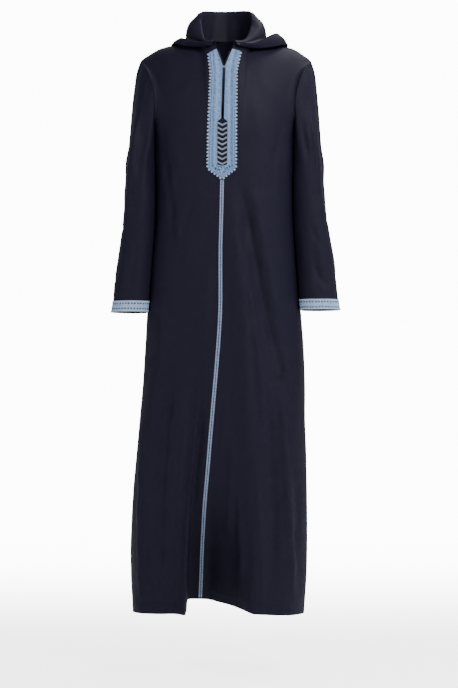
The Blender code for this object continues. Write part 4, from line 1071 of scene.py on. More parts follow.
def flat_coordinates(grid, closed):
    """Metres across and along the cloth at each point; a closed sheet gets one more column."""
    if closed:
        grid = np.concatenate([grid, grid[:, :1]], axis=1)
    across = np.linalg.norm(np.diff(grid, axis=1), axis=2).mean(axis=0)
    across = np.concatenate([[0], np.cumsum(across)])
    along = np.linalg.norm(np.diff(grid, axis=0), axis=2)
    along = np.concatenate([np.zeros((1, grid.shape[1])), np.cumsum(along, axis=0)])
    return np.stack([np.broadcast_to(across, along.shape), along], axis=2)


def wall_faces(rows, columns, closed):
    """Quads of both faces and the rims, as (face, row, column) corners."""
    spans = columns if closed else columns - 1

    def quads(corners):
        return np.stack([np.stack(np.broadcast_arrays(*corner), axis=1) for corner in corners], axis=1)

    i, j = (steps.ravel() for steps in np.meshgrid(np.arange(rows - 1), np.arange(spans), indexing="ij"))
    corners = ((i, j), (i, j + 1), (i + 1, j + 1), (i + 1, j))
    across, down = np.arange(spans), np.arange(rows - 1)
    rim = ((0, 0), (1, 0), (1, 1), (0, 1))        # face and step of each corner
    made = [quads([(0, *corner) for corner in corners]), quads([(1, *corner) for corner in corners[::-1]]),
            quads([(face, 0, across + step) for face, step in rim]),
            quads([(face, rows - 1, across + step) for face, step in rim[::-1]])]
    if not closed:
        made += [quads([(face, down + step, 0) for face, step in rim[::-1]]),
                 quads([(face, down + step, columns - 1) for face, step in rim])]
    return np.concatenate(made)


def wall_mesh(name, outer, inner, closed, attributes=None, flip=False):
    """A closed wall between two fine grids, with flat coordinates and stored distances."""
    rows, columns = outer.shape[:2]
    faces = wall_faces(rows, columns, closed)
    if flip:
        faces = faces[:, ::-1]
    wrapped = faces[..., 2] % columns
    index = faces[..., 0] * rows * columns + faces[..., 1] * columns + wrapped
    mesh = bpy.data.meshes.new(name)
    points = np.concatenate([outer.reshape(-1, 3), inner.reshape(-1, 3)])
    mesh.from_pydata(points.tolist(), [], index.tolist())
    flat = flat_coordinates(outer, closed)
    layer = mesh.uv_layers.new(name="cloth")
    layer.data.foreach_set("uv", flat[faces[..., 1], faces[..., 2]].reshape(-1))
    for key, values in (attributes or {}).items():
        store = mesh.attributes.new(key, "FLOAT", "POINT")
        store.data.foreach_set("value", np.tile(values.reshape(-1), 2).astype(np.float32))
    mesh.shade_smooth()
    mesh.set_sharp_from_angle(angle=math.radians(60))
    return mesh


def edge_distances(grid, closed, sewn):
    """Metres to the free end of the sheet, and to the nearest of its sewn edges."""
    flat = flat_coordinates(grid, closed)[:, :grid.shape[1]]
    across, along = flat[..., 0], flat[..., 1]
    edges = {"top": along, "first": across, "last": across.max() - across, "end": along[-1] - along}
    nearest = np.full(along.shape, 1.0)
    for edge in sewn:
        nearest = np.minimum(nearest, edges[edge])
    return edges["end"], nearest


def area_of(grid, closed):
    """Area of the sheet in square metres."""
    if closed:
        grid = np.concatenate([grid, grid[:, :1]], axis=1)
    one, two = grid[1:, 1:] - grid[:-1, :-1], grid[1:, :-1] - grid[:-1, 1:]
    return float(np.linalg.norm(np.cross(one, two), axis=2).sum() / 2)


print("quads of a 3 by 3 wall:", len(wall_faces(3, 3, False)))

# %% [markdown]
# ## Sew the robe together
#
# Front halves and back hang from the shoulders, the sleeves hang from the armholes and the hood is
# draped over the shoulders. The table below gives the size that each piece was cut to. The cut is a
# little larger than what shows, because the seams and the hem take some cloth.

# %% Make the six cut pieces
CUTS = {
    # piece: widest, longest, share of that rectangle that the cut fills, how it is held, what holds it
    "front_left": (0.36, 1.39, 0.82, "hung", ["back"], ("top", "first", "last")),
    "front_right": (0.36, 1.39, 0.82, "hung", ["back"], ("top", "first", "last")),
    "back": (0.7, 1.42, 0.84, "hung", ["front_left", "front_right"], ("top", "first", "last")),
    "sleeve_left": (0.44, 0.62, 0.8, "hung", ["front_left", "back"], ("top",)),
    "sleeve_right": (0.44, 0.62, 0.8, "hung", ["front_right", "back"], ("top",)),
    "hood": (0.62, 0.42, 0.86, "draped", ["front_left", "front_right", "back"], ("top",)),
}
cloth_pieces, cloth_faces = {}, {}
for name, (grid, closed, outward) in SHEETS.items():
    outer = creased[name]
    inner = outer - sheet_normals(outer, closed, outward) * CLOTH_THIN
    hem, sewn = edge_distances(outer, closed, CUTS[name][5])
    mesh = wall_mesh(name + "_cloth", outer, inner, closed, {"hem": hem, "sewn": sewn}, flip=outward < 0)
    piece = link(name + "_cloth", mesh)
    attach(piece, "root")
    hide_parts(name)
    cloth_pieces[name] = piece
    cloth_faces[name] = (outer, sheet_normals(outer, closed, outward))
    print(name, "shows square metres:", round(area_of(outer, closed), 3), "faces:", len(mesh.polygons))

# %% [markdown]
# ## A way to lay things on the front
#
# Needlework, bars, cords and piping all lie on the two front halves. A point of the front view is sent
# straight back until it meets the cloth, which gives the place and the direction out of the cloth.

# %% Find the front's cloth behind a point of the front view
def outer_tree(names):
    points, quads, start = [], [], 0
    for name in names:
        grid, _ = cloth_faces[name]
        rows, columns = grid.shape[:2]
        points += [tuple(point) for point in grid.reshape(-1, 3)]
        i, j = np.meshgrid(np.arange(rows - 1), np.arange(columns - 1), indexing="ij")
        one = (start + i * columns + j).ravel()
        quads += np.stack([one, one + 1, one + columns + 1, one + columns], axis=1).tolist()
        start += rows * columns
    return BVHTree.FromPolygons(points, quads)


FRONT_TREE = outer_tree(("front_left", "front_right"))
ASIDE_TRIES = (0.0, -0.0009, 0.0009, -0.003, 0.003)      # a point over a gap is looked for beside it
IN_FRONT_Y, CHEST_FRONT_Y = -1.0, -0.12


def front_place(x, z):
    """Where the front's cloth is behind this point, and the direction out of it."""
    for aside in ASIDE_TRIES:
        hit, normal, _, _ = FRONT_TREE.ray_cast(Vector((x + aside, IN_FRONT_Y, z)), Vector((0, 1, 0)))
        if hit is not None and hit.y < 0.0:
            break
    else:
        hit, normal, _, _ = FRONT_TREE.find_nearest(Vector((x, CHEST_FRONT_Y, z)))
    return np.array((x, hit.y, z)), np.array(-normal if normal.y > 0 else normal)


def laid(points):
    """Places on the cloth behind points of the front view, and the directions out of it."""
    found = np.array([front_place(x, z) for x, z in points])
    return found[:, 0], found[:, 1]


print("cloth behind the middle of the chest, y in m:", round(float(front_place(0.03, -0.25)[0][1]), 4))

# %% [markdown]
# ## The needlework panel
#
# A U-shaped band frames the neck slit and the window below it and ends in a point on the braid. The
# rows of stitches follow the U, so the band is built across from its outer edge to its inner edge and
# along from the left corner of the neck, round the point and up to the right corner. That gives flat
# coordinates that bend with it: the stripes of cord and filling stitch are then plain stripes.

# %% Outline of the panel
PANEL_LEFT = (
    # z, x
    (-0.03, -0.045), (-0.08, -0.04), (-0.16, -0.043), (-0.23, -0.0457), (-0.305, -0.0465),
)
PANEL_RIGHT = (
    (-0.026, 0.0385), (-0.075, 0.0285), (-0.16, 0.0278), (-0.23, 0.0275), (-0.305, 0.027),
)
PANEL_EDGE_CLEAR = 0.0006  # between the panel and the cloth's edge along the slit
PANEL_TOP_INNER_Z = -0.02
PANEL_TIP = (-0.0092, -0.3345)
WINDOW_TOP_Z, WINDOW_LOW_Z, WINDOW_HALF = -0.1935, -0.299, 0.0117

CHEVRON_HALF, CHEVRON_RISE, CHEVRON_BAR = 0.011, 0.0058, 0.0058
CHEVRON_TOP_CLEAR = 0.0022
WINDOW_CORNER_IN, WINDOW_CORNER_UP = 0.0004, 0.002   # where the needlework turns round the window's foot

PANEL_KEYS = (-0.045, -0.061, -0.08, -0.105, -0.13, -0.16, -0.1885, -0.195, -0.23, -0.27)
GROUND_LIFT, GROUND_THICK = 0.0004, 0.0005
BAND_STEPS, BAND_GAP = 22, 0.0022


def slit_edge(side, z):
    """x of the needlework's inner edge beside the V, the slit and the window."""
    sign = 1 if side == "right" else -1
    if z > V_BOTTOM_Z:
        top_x = sign * NECK_FRONT[0][1] + NECK_SHIFT
        top_z = NECK_FRONT[0][3]
        low_x = centre_front(V_BOTTOM_Z) + sign * SLIT_HALF
        edge = top_x + (low_x - top_x) * (top_z - z) / (top_z - V_BOTTOM_Z)
    elif z > SLIT_END_Z:
        edge = centre_front(z) + sign * SLIT_HALF
    else:
        edge = centre_front(z) + sign * (WINDOW_HALF - PANEL_EDGE_CLEAR)
    return edge + sign * PANEL_EDGE_CLEAR


def panel_lines():
    """Matching points of the panel's outer edge (where the teeth start) and its inner edge."""
    halves = {}
    for side, table, sign in (("left", PANEL_LEFT, 1), ("right", PANEL_RIGHT, -1)):
        rim = [(float(table[0][1]) + sign * TOOTH_DEEP, table[0][0])]
        inner = [(slit_edge(side, PANEL_TOP_INNER_Z), PANEL_TOP_INNER_Z)]
        for z in PANEL_KEYS:
            rim.append((float(straight_rows(table, z)[0]) + sign * TOOTH_DEEP, z))
            inner.append((slit_edge(side, z), z))
        rim.append((table[-1][1] + sign * TOOTH_DEEP, table[-1][0]))
        inner.append((slit_edge(side, WINDOW_LOW_Z) + sign * WINDOW_CORNER_IN,
                      WINDOW_LOW_Z + WINDOW_CORNER_UP))
        halves[side] = (rim, inner)
    tip = (PANEL_TIP[0], PANEL_TIP[1] + TOOTH_DEEP)
    foot = (centre_front(WINDOW_LOW_Z), WINDOW_LOW_Z - PANEL_EDGE_CLEAR)
    rim = halves["left"][0] + [tip] + halves["right"][0][::-1]
    inner = halves["left"][1] + [foot] + halves["right"][1][::-1]
    return np.array(rim), np.array(inner)


def stepped(rim, inner, gap):
    """Matching points on both lines, about gap apart along their middle."""
    middle = (rim + inner) / 2
    lengths = np.maximum(np.linalg.norm(np.diff(middle, axis=0), axis=1), 0.001)
    rims, inners = [], []
    for k, length in enumerate(lengths):
        parts = max(1, round(length / gap))
        for part in range(parts):
            s = part / parts
            rims.append(rim[k] + (rim[k + 1] - rim[k]) * s)
            inners.append(inner[k] + (inner[k + 1] - inner[k]) * s)
    rims.append(rim[-1])
    inners.append(inner[-1])
    return np.array(rims), np.array(inners)


RIM_LINE, INNER_LINE = stepped(*panel_lines(), BAND_GAP)
print("rows along the panel:", len(RIM_LINE))

# %% Lay the panel's ground on the front
GROUND_RISE, GROUND_EDGE = 0.0005, 0.0025   # rise of its middle, and the width in which it rises


def ground_relief(from_rim, from_slit):
    """Height of the filled ground: a little higher in its middle, thin at both edges."""
    edge = np.minimum(from_rim, from_slit)
    return GROUND_THICK + GROUND_RISE * np.clip(edge / GROUND_EDGE, 0, 1)


def panel_ground():
    """Both faces of the ground, and the distances of its points from the rim and from the slit."""
    shares = np.linspace(0, 1, BAND_STEPS + 1)
    flat = RIM_LINE[:, None] + (INNER_LINE - RIM_LINE)[:, None] * shares[None, :, None]
    width = np.linalg.norm(INNER_LINE - RIM_LINE, axis=1)[:, None]
    from_rim, from_slit = width * shares, width * (1 - shares)
    places, normals = (values.reshape(flat.shape[:2] + (3,)) for values in laid(flat.reshape(-1, 2)))
    low = places + normals * GROUND_LIFT
    return low + normals * ground_relief(from_rim, from_slit)[..., None], low, from_rim, from_slit


high, low, from_rim, from_slit = panel_ground()
distances = {"from_rim": from_rim, "from_slit": from_slit}
ground_mesh = wall_mesh("needlework_ground", high, low, False, distances, flip=True)
ground = link("needlework_ground", ground_mesh)

# %% [markdown]
# Cords and picots stand on the ground. A couched cord is two threads twisted together, so its section
# is a flattened ring whose bulges turn as it runs along. All cords are made by one helper: it takes
# a line in the front view, lays it on the cloth and sweeps the turning section along it.

# %% A twisted cord laid along a line
CORD_SIDES = 10
AROUND_SCALE = 0.0012     # flat width of one side of a cord


def even_line(line, gap):
    """The line's points at even steps."""
    line = np.array(line, dtype=float)
    lengths = np.linalg.norm(np.diff(line, axis=0), axis=1)
    ends = np.concatenate([[0], np.cumsum(lengths)])
    places = np.linspace(0, ends[-1], max(2, round(ends[-1] / gap)))
    return np.stack([np.interp(places, ends, line[:, k]) for k in range(line.shape[1])], axis=1)


def smoothed(values, times=3):
    """Each row averaged with its neighbours."""
    for _ in range(times):
        values = np.concatenate([values[:1], (values[:-2] + 2 * values[1:-1] + values[2:]) / 4, values[-1:]])
    return values


def cord_points(middle, up, half_wide, half_high, twist, ply=0.14):
    """Rings of a twisted cord round its middle line."""
    along = unit(np.gradient(middle, axis=0))
    aside = unit(np.cross(along, up))
    up = unit(np.cross(aside, along))
    run = np.concatenate([[0], np.cumsum(np.linalg.norm(np.diff(middle, axis=0), axis=1))])
    rings = []
    for side in range(CORD_SIDES):
        turn = 2 * math.pi * side / CORD_SIDES
        bulge = 1 + ply * np.cos(2 * turn - 2 * math.pi * run / twist)
        taper = np.clip(np.minimum(np.arange(len(run)) + 1, len(run) - np.arange(len(run))) / 3, 0.45, 1)
        step = (aside * (half_wide * math.cos(turn)) + up * (half_high * math.sin(turn)))
        rings.append(middle + step * (bulge * taper)[:, None])
    return np.array(rings).transpose(1, 0, 2), run


def sealed_mesh(name, points, faces, flat):
    """A mesh with flat coordinates and with all its faces outwards."""
    mesh = bpy.data.meshes.new(name)
    mesh.from_pydata(points, [], faces)
    mesh.uv_layers.new(name="cloth").data.foreach_set("uv", flat)
    shape = bmesh.new()
    shape.from_mesh(mesh)
    bmesh.ops.recalc_face_normals(shape, faces=shape.faces[:])
    shape.to_mesh(mesh)
    shape.free()
    mesh.shade_smooth()
    return mesh


def cord_mesh(name, cords):
    """One mesh of several cords, each given as its rings and its run in metres."""
    points, faces, flat = [], [], []
    for rings, run in cords:
        start = len(points)
        rows = len(rings)
        points += rings.reshape(-1, 3).tolist()
        for i in range(rows - 1):
            for j in range(CORD_SIDES):
                k = (j + 1) % CORD_SIDES
                one, two = start + i * CORD_SIDES, start + (i + 1) * CORD_SIDES
                faces.append((one + j, two + j, two + k, one + k))
                flat += [(run[i], j), (run[i + 1], j), (run[i + 1], j + 1), (run[i], j + 1)]
        for end, first in ((0, start), (-1, start + (rows - 1) * CORD_SIDES)):
            ring = range(first, first + CORD_SIDES)
            faces.append(tuple(reversed(ring) if end else ring))
            flat += [(run[end], j) for j in range(CORD_SIDES)]
    return sealed_mesh(name, points, faces, [value for u, v in flat for value in (u, v * AROUND_SCALE)])


def laid_cord(line, gap, lift, half_wide, half_high, twist):
    """Rings and run of a cord along a line of the front view."""
    middle, up = laid(even_line(line, gap))
    up = unit(smoothed(up, 6))
    middle[:, 1] = smoothed(middle[:, 1:2], 2)[:, 0]
    return cord_points(middle + up * lift, up, half_wide, half_high, twist)


print("sides of a cord:", CORD_SIDES)

# %% Couch the cords of the panel
PANEL_CORDS = (
    # measured from, distance, half width, half height, twist
    ("rim", 0.0014, 0.0011, 0.00085, 0.0036),
    ("rim", 0.0052, 0.0015, 0.0011, 0.007),
    ("slit", 0.001, 0.00095, 0.0008, 0.0036),
)
GROUND_TOP = GROUND_LIFT + GROUND_THICK + 0.0004
TACK_LEVELS, TACK_HALF = (-0.064, -0.0654, -0.0668), 0.0045   # short bars that hold the slit's top together


def offset_line(start, distance):
    """A line at this distance from the panel's rim or from its inner edge."""
    line, other = (RIM_LINE, INNER_LINE) if start == "rim" else (INNER_LINE, RIM_LINE)
    return line + unit(other - line) * distance


panel_cords = []
for start, distance, half_wide, half_high, twist in PANEL_CORDS:
    line = offset_line(start, distance)
    panel_cords.append(laid_cord(line, 0.0016, GROUND_TOP + half_high * 0.5, half_wide, half_high, twist))
for level in TACK_LEVELS:
    line = [(centre_front(level) - TACK_HALF, level), (centre_front(level) + TACK_HALF, level)]
    panel_cords.append(laid_cord(line, 0.0011, GROUND_TOP + 0.0007, 0.0007, 0.0006, 0.0028))
cords = link("needlework_cords", cord_mesh("needlework_cords", panel_cords))
print("cords on the panel:", len(panel_cords), "faces:", len(cords.data.polygons))

# %% [markdown]
# The picots are small knots of thick thread, one beside the other, that point away from the panel.
# One is built as a dome over a round knot with a narrow foot and repeated along the rim at the pitch
# of the real ones, so that the last one ends at the corner where the rim turns.

# %% Knot the picots along the rim
PICOT_ROWS, PICOT_COLUMNS = 8, 7
PICOT_HIGH, PICOT_FOOT, PICOT_SUNK = 0.0022, 0.0003, 0.0008
PICOT_OUTLINE = (
    # place from the rim to the tip, half width as a share of the pitch
    (0.00, 0.33), (0.2, 0.32), (0.45, 0.34), (0.65, 0.32), (0.85, 0.22), (0.95, 0.12), (1.00, 0.05),
)


def pad(rows, columns, spot):
    """Both faces of a small pad. spot gives x, z and height at 0 to 1 along and -1 to 1 across it."""
    top, under = np.empty((rows, columns, 3)), np.empty((rows, columns, 3))
    for row in range(rows):
        for column in range(columns):
            x, z, high = spot(row / (rows - 1), 2 * column / (columns - 1) - 1)
            place, normal = front_place(x, z)
            under[row, column] = place + normal * GROUND_LIFT
            top[row, column] = place + normal * (GROUND_LIFT + high)
    return top, under


def picot(root, along, outwards, wide):
    def spot(out, across):
        half = wide * float(np.interp(out, *zip(*PICOT_OUTLINE)))
        x, z = root + along * across * half + outwards * (out * TOOTH_DEEP - PICOT_SUNK)
        dome = math.sqrt(max(0.0, 1 - across * across)) * (1 - 0.5 * (2 * out - 1) ** 4)
        groove = 1 - 0.25 * math.exp(-(across / 0.2) ** 2)
        return x, z, PICOT_FOOT + PICOT_HIGH * dome * groove

    return pad(PICOT_ROWS, PICOT_COLUMNS, spot)


def rim_sides():
    """Corners of the rim between which the picots are counted."""
    corners = [(x + TOOTH_DEEP, z) for z, x in PANEL_LEFT] + [(PANEL_TIP[0], PANEL_TIP[1] + TOOTH_DEEP)]
    return np.array(corners + [(x - TOOTH_DEEP, z) for z, x in reversed(PANEL_RIGHT)])


def joined_walls(name, walls):
    """One mesh of many small closed walls."""
    points, faces, flat = [], [], []
    for top, under in walls:
        rows, columns = top.shape[:2]
        corners = wall_faces(rows, columns, False)
        index = corners[..., 0] * rows * columns + corners[..., 1] * columns + corners[..., 2]
        faces += (index + len(points)).tolist()
        points += np.concatenate([top.reshape(-1, 3), under.reshape(-1, 3)]).tolist()
        flat.append(flat_coordinates(top, False)[corners[..., 1], corners[..., 2]].reshape(-1))
    mesh = sealed_mesh(name, points, faces, np.concatenate(flat))
    mesh.set_sharp_from_angle(angle=math.radians(70))
    return mesh


picots = []
corners = rim_sides()
for start, finish in zip(corners[:-1], corners[1:]):
    length = float(np.linalg.norm(finish - start))
    along = (finish - start) / length
    outwards = np.array([along[1], -along[0]])
    count = max(1, round(length / TOOTH_PITCH))
    for number in range(count):
        root = start + along * length * (number + 0.5) / count
        picots.append(picot(root, along, outwards, length / count))
picot_piece = link("needlework_picots", joined_walls("needlework_picots", picots))
for piece in (ground, cords, picot_piece):
    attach(piece, "root")
    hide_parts("embroidered_panel")
print("picots:", len(picots))

# %% [markdown]
# In the window below the slit the dark cloth shows between silver grey bars. Each bar is a short flat
# braid folded to a V that points down, thickest along its middle.

# %% Fold the bars of the window
BAR_ROWS, BAR_COLUMNS = 7, 15
BAR_HIGH, BAR_FOOT = 0.0013, 0.0002
BAR_MARGIN = 0.13         # the bar stays this share of its solid's height inside it


def bar(number):
    low_z = WINDOW_TOP_Z - CHEVRON_TOP_CLEAR - CHEVRON_RISE - CHEVRON_BAR - CHEVRON_PITCH * number
    middle = centre_front(low_z)

    def spot(share, across):
        up = BAR_MARGIN + (1 - 2 * BAR_MARGIN) * (1 - share)
        z = low_z + CHEVRON_RISE * abs(across) + CHEVRON_BAR * up
        round_off = math.sqrt(max(0.0, 1 - (2 * share - 1) ** 2))
        fold = 1 - 0.35 * math.exp(-(across / 0.1) ** 2)
        return middle + CHEVRON_HALF * across, z, BAR_FOOT + BAR_HIGH * round_off * fold

    return pad(BAR_ROWS, BAR_COLUMNS, spot)


bars = []
for number in range(CHEVRONS):
    piece = link(f"window_bar_{number + 1}", joined_walls(f"window_bar_{number + 1}", [bar(number)]))
    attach(piece, "root")
    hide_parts(f"chevron_{number + 1}")
    bars.append(piece)
print("bars:", len(bars))

# %% [markdown]
# ## The two cords of the centre front
#
# From the panel's point down to the hem two pale cords lie side by side over the seam. They are
# thicker than the panel's cords and a little flattened. Thin dark threads run between and beside them.

# %% Lay the front cords
BRAID_TOP_Z = PANEL_TIP[1] + TOOTH_DEEP - BRAID_CLEAR
BRAID_LOW_Z = -1.3225
FRONT_CORD_HALF, FRONT_CORD_HIGH, FRONT_CORD_TWIST = 0.00185, 0.0014, 0.0078
FRONT_CORD_ASIDE = 0.0025
FRONT_CORD_LIFT = 0.0013
DARK_THREADS = (-0.0048, 0.0, 0.0048)      # thin dark threads beside and between the cords
DARK_THREAD_HALF = 0.00058

front_cords, edge_threads = [], []
levels = np.arange(BRAID_TOP_Z, BRAID_LOW_Z, -0.004)
for sign in (-1, 1):
    line = [(centre_front(z) + sign * FRONT_CORD_ASIDE, z) for z in levels]
    front_cords.append(laid_cord(line, 0.0012, FRONT_CORD_LIFT, FRONT_CORD_HALF, FRONT_CORD_HIGH,
                                 FRONT_CORD_TWIST * sign))
for aside in DARK_THREADS:
    line = [(centre_front(z) + aside, z) for z in levels]
    edge_threads.append(laid_cord(line, 0.003, 0.0007, DARK_THREAD_HALF, DARK_THREAD_HALF, 0.004))
front_braid = link("front_cords", cord_mesh("front_cords", front_cords))
edging = link("front_cord_edging", cord_mesh("front_cord_edging", edge_threads))
for piece, slot in ((front_braid, "front_braid"), (edging, "neck_piping")):
    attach(piece, "root")
    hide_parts("front_braid")
print("front cords end at z:", round(float(front_cords[0][0][-1, :, 2].min()), 4),
      "faces:", len(front_braid.data.polygons))

# %% [markdown]
# ## Bands at the cuffs and the bound edge of the slit
#
# A woven band is sewn round each cuff. It follows the last rows of the sleeve, with a raised cord at
# both borders. The V and the slit have a thin dark binding, which is a plain small cord.

# %% Sew the cuff bands
BAND_LIFT, BAND_THICK = 0.0004, 0.0007
BAND_ROWS = 24
CORD_PLACES, CORD_HALF_SHARE, CORD_RISE = (0.07, 0.93), 0.07, 0.0009
LADDER_PLACES, LADDER_HALF_SHARE, LADDER_DEPTH = (0.27, 0.74), 0.045, 0.0005


def band_relief(share):
    """Height of the band across its width."""
    height = BAND_THICK
    for place in CORD_PLACES:
        away = min(abs(share - place) / CORD_HALF_SHARE, 1.0)
        height += CORD_RISE * math.sqrt(1 - away * away)
    for place in LADDER_PLACES:
        height -= LADDER_DEPTH * math.exp(-((share - place) / LADDER_HALF_SHARE) ** 2)
    return height


cuff_bands = []
for side in ("left", "right"):
    sleeve = "sleeve_" + side
    sheet, normals = cloth_faces[sleeve]
    first = row_places[sleeve][-2]
    rows = np.arange(first, sheet.shape[0])
    shares = np.linspace(0, 1, BAND_ROWS + 1)
    at = np.interp(shares, np.linspace(0, 1, len(rows)), rows)
    lower = np.minimum(at.astype(int), len(sheet) - 2)
    part = (at - lower)[:, None, None]
    points = sheet[lower] * (1 - part) + sheet[lower + 1] * part
    out = unit(normals[lower] * (1 - part) + normals[lower + 1] * part)
    relief = np.array([band_relief(share) for share in shares])[:, None, None]
    under, over = points + out * BAND_LIFT, points + out * (BAND_LIFT + relief)
    mesh = wall_mesh("cuff_band_" + side, over, under, True, flip=SHEETS[sleeve][2] < 0)
    band = link("cuff_band_" + side, mesh)
    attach(band, "root")
    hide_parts("cuff_trim_" + side)
    cuff_bands.append(band)

# %% Bind the V and the slit
BINDING_HALF = 0.00115
BINDING_INSET = 0.0007


def binding_line():
    """Down the left edge of the V and the slit, round its end and up the right edge."""
    halves = []
    for side, sign in (("left", 1), ("right", -1)):
        sheet, normals = cloth_faces["front_" + side]
        last = row_places["front_" + side][SLIT_ROW]
        points = sheet[2:last + 1, 0] + np.array([sign * BINDING_INSET, 0, 0])
        halves.append((points, normals[2:last + 1, 0]))
    (left_points, left_up), (right_points, right_up) = halves
    middle = (left_points[-1] + right_points[-1]) / 2
    radius = np.linalg.norm(left_points[-1] - right_points[-1]) / 2
    bend = [middle + radius * np.array([-math.cos(turn), 0, -math.sin(turn)])
            for turn in np.radians([30, 60, 90, 120, 150])]
    bend_up = [left_up[-1]] * len(bend)
    return (np.concatenate([left_points, bend, right_points[::-1]]),
            np.concatenate([left_up, bend_up, right_up[::-1]]))


places, ups = binding_line()
both = even_line(np.concatenate([places, ups], axis=1), 0.0015)
ups = unit(smoothed(both[:, 3:], 4))
binding_cord = cord_points(both[:, :3], ups, BINDING_HALF, BINDING_HALF, 0.004, 0.05)
binding = link("slit_binding", cord_mesh("slit_binding", [binding_cord]))
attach(binding, "root")
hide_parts("neck_piping")
print("binding rings:", len(binding_cord[0]))

# %% [markdown]
# ## Weave and threads
#
# The weave is used all over the cloth, and laid threads by every trim. Each is a node group with named
# inputs and outputs, built once and placed in each material with its own values.

# %% Twill weave as a node group
def new_group(name, results, **inputs):
    """A node group with a vector and these inputs and results, and the sockets of its inputs."""
    group = bpy.data.node_groups.new(name, "ShaderNodeTree")
    group.interface.new_socket(name="Vector", in_out="INPUT", socket_type="NodeSocketVector")
    for key, value in inputs.items():
        socket = group.interface.new_socket(name=key, in_out="INPUT", socket_type="NodeSocketFloat")
        socket.default_value = value
    for key in results:
        group.interface.new_socket(name=key, in_out="OUTPUT", socket_type="NodeSocketFloat")
    return group, group.nodes.new("NodeGroupInput").outputs


def twill_group():
    group, given = new_group("twill weave", ("Height", "Tone"), Pitch=0.0009)
    vector = given["Vector"]
    split = node(group, "ShaderNodeSeparateXYZ", {0: vector}).outputs
    across = calc(group, "DIVIDE", split[0], given["Pitch"])
    along = calc(group, "DIVIDE", split[1], given["Pitch"])
    slant = calc(group, "ADD", across, along)
    rib = calc(group, "SINE", calc(group, "MULTIPLY", slant, 2 * math.pi))
    thread = calc(group, "SINE", calc(group, "MULTIPLY", across, 4 * math.pi))
    fluff = noise(group, vector, 900.0)
    drawn_out = node(group, "ShaderNodeVectorMath", {0: vector, 1: (6.0, 0.7, 1.0)}, operation="MULTIPLY")
    slub = noise(group, drawn_out.outputs[0], 60.0, 3.0)
    height = calc(group, "MULTIPLY_ADD", rib, 0.3, calc(group, "MULTIPLY_ADD", thread, 0.12, 0.45))
    height = calc(group, "MULTIPLY_ADD", fluff, 0.35, height)
    tone = calc(group, "MULTIPLY_ADD", slub, 0.7, calc(group, "MULTIPLY", fluff, 0.3))
    node(group, "NodeGroupOutput", {"Height": height, "Tone": tone})
    return group


TWILL = twill_group()
print("weave group:", TWILL.name)

# %% Slanted threads as a node group
def thread_group():
    group, given = new_group("laid threads", ("Height",), Pitch=0.0008, Slant=0.5, Uneven=0.35)
    vector = given["Vector"]
    split = node(group, "ShaderNodeSeparateXYZ", {0: vector}).outputs
    leaned = calc(group, "MULTIPLY_ADD", split[1], given["Slant"], split[0])
    phase = calc(group, "DIVIDE", leaned, given["Pitch"])
    wobble = calc(group, "MULTIPLY", noise(group, vector, 240.0), given["Uneven"])
    phase = calc(group, "ADD", phase, wobble)
    wave = calc(group, "SINE", calc(group, "MULTIPLY", phase, 2 * math.pi))
    grain = noise(group, vector, 1600.0, 1.0)
    height = calc(group, "MULTIPLY_ADD", wave, 0.38, calc(group, "MULTIPLY_ADD", grain, 0.25, 0.38))
    node(group, "NodeGroupOutput", {"Height": height})
    return group


THREADS = thread_group()
print("thread group:", THREADS.name)

# %% Start a finish
def new_finish(name, roughness, sheen, sheen_roughness, specular):
    """A material, its tree, its shader's inputs with their constant values, and the flat coordinates."""
    material = bpy.data.materials.new(name)
    material.use_nodes = True
    tree = material.node_tree
    inputs = tree.nodes["Principled BSDF"].inputs
    inputs["Roughness"].default_value = roughness
    inputs["Sheen Weight"].default_value = sheen
    inputs["Sheen Roughness"].default_value = sheen_roughness
    inputs["Specular IOR Level"].default_value = specular
    return material, tree, inputs, node(tree, "ShaderNodeUVMap", uv_map="cloth").outputs[0]


def placed_group(tree, group, vector, **values):
    """The results of a node group joined to a vector, with its own values."""
    return node(tree, "ShaderNodeGroup", {"Vector": vector, **values}, node_tree=group).outputs


def stored(tree, name):
    """A distance that the piece stores at its points."""
    return node(tree, "ShaderNodeAttribute", attribute_name=name).outputs["Fac"]


def object_place(tree):
    return node(tree, "ShaderNodeTexCoord").outputs["Object"]


def bumped(tree, height, distance, strength, normal=None):
    """The normal of a Bump node, on top of an earlier one where there is one."""
    made = node(tree, "ShaderNodeBump", {"Height": height, "Distance": distance, "Strength": strength})
    if normal is not None:
        tree.links.new(normal, made.inputs["Normal"])
    return made.outputs[0]


def band_mask(tree, value, middle, half):
    """1 within half of the middle value, falling to 0 beyond it."""
    away = calc(tree, "ABSOLUTE", calc(tree, "SUBTRACT", value, middle))
    return ramped(tree, away, half * 0.6, half * 1.4, 1.0, 0.0)


def spotted(tree, vector, scale, low, high):
    """Soft spots: 0 below low and 1 above high of a noise with this many spots a metre."""
    return ramped(tree, noise(tree, vector, scale), low, high)


print("finish helpers ready")

# %% [markdown]
# ## Dark navy twill
#
# The robe's cloth is a fine twill that looks nearly black in the shade and shows its blue only where
# light grazes it. Its colour wanders a little from thread to thread. Along sewn edges the cloth is
# drawn in by the stitches, which shows as small puckers, and a line of stitches runs above the hem.

# %% Finish the cloth
NAVY_DEEP, NAVY_LIGHT = (0.0112, 0.0092, 0.0226, 1), (0.019, 0.0158, 0.0366, 1)
STITCH_NAVY = (0.006, 0.0065, 0.014, 1)
HEM_STITCH, STITCH_HALF, STITCH_LENGTH = 0.024, 0.0005, 0.003
SEAM_LINE, SEAM_PUCKER, HEM_PUCKER = 0.0016, 0.012, 0.006       # how far from the edge or stitches


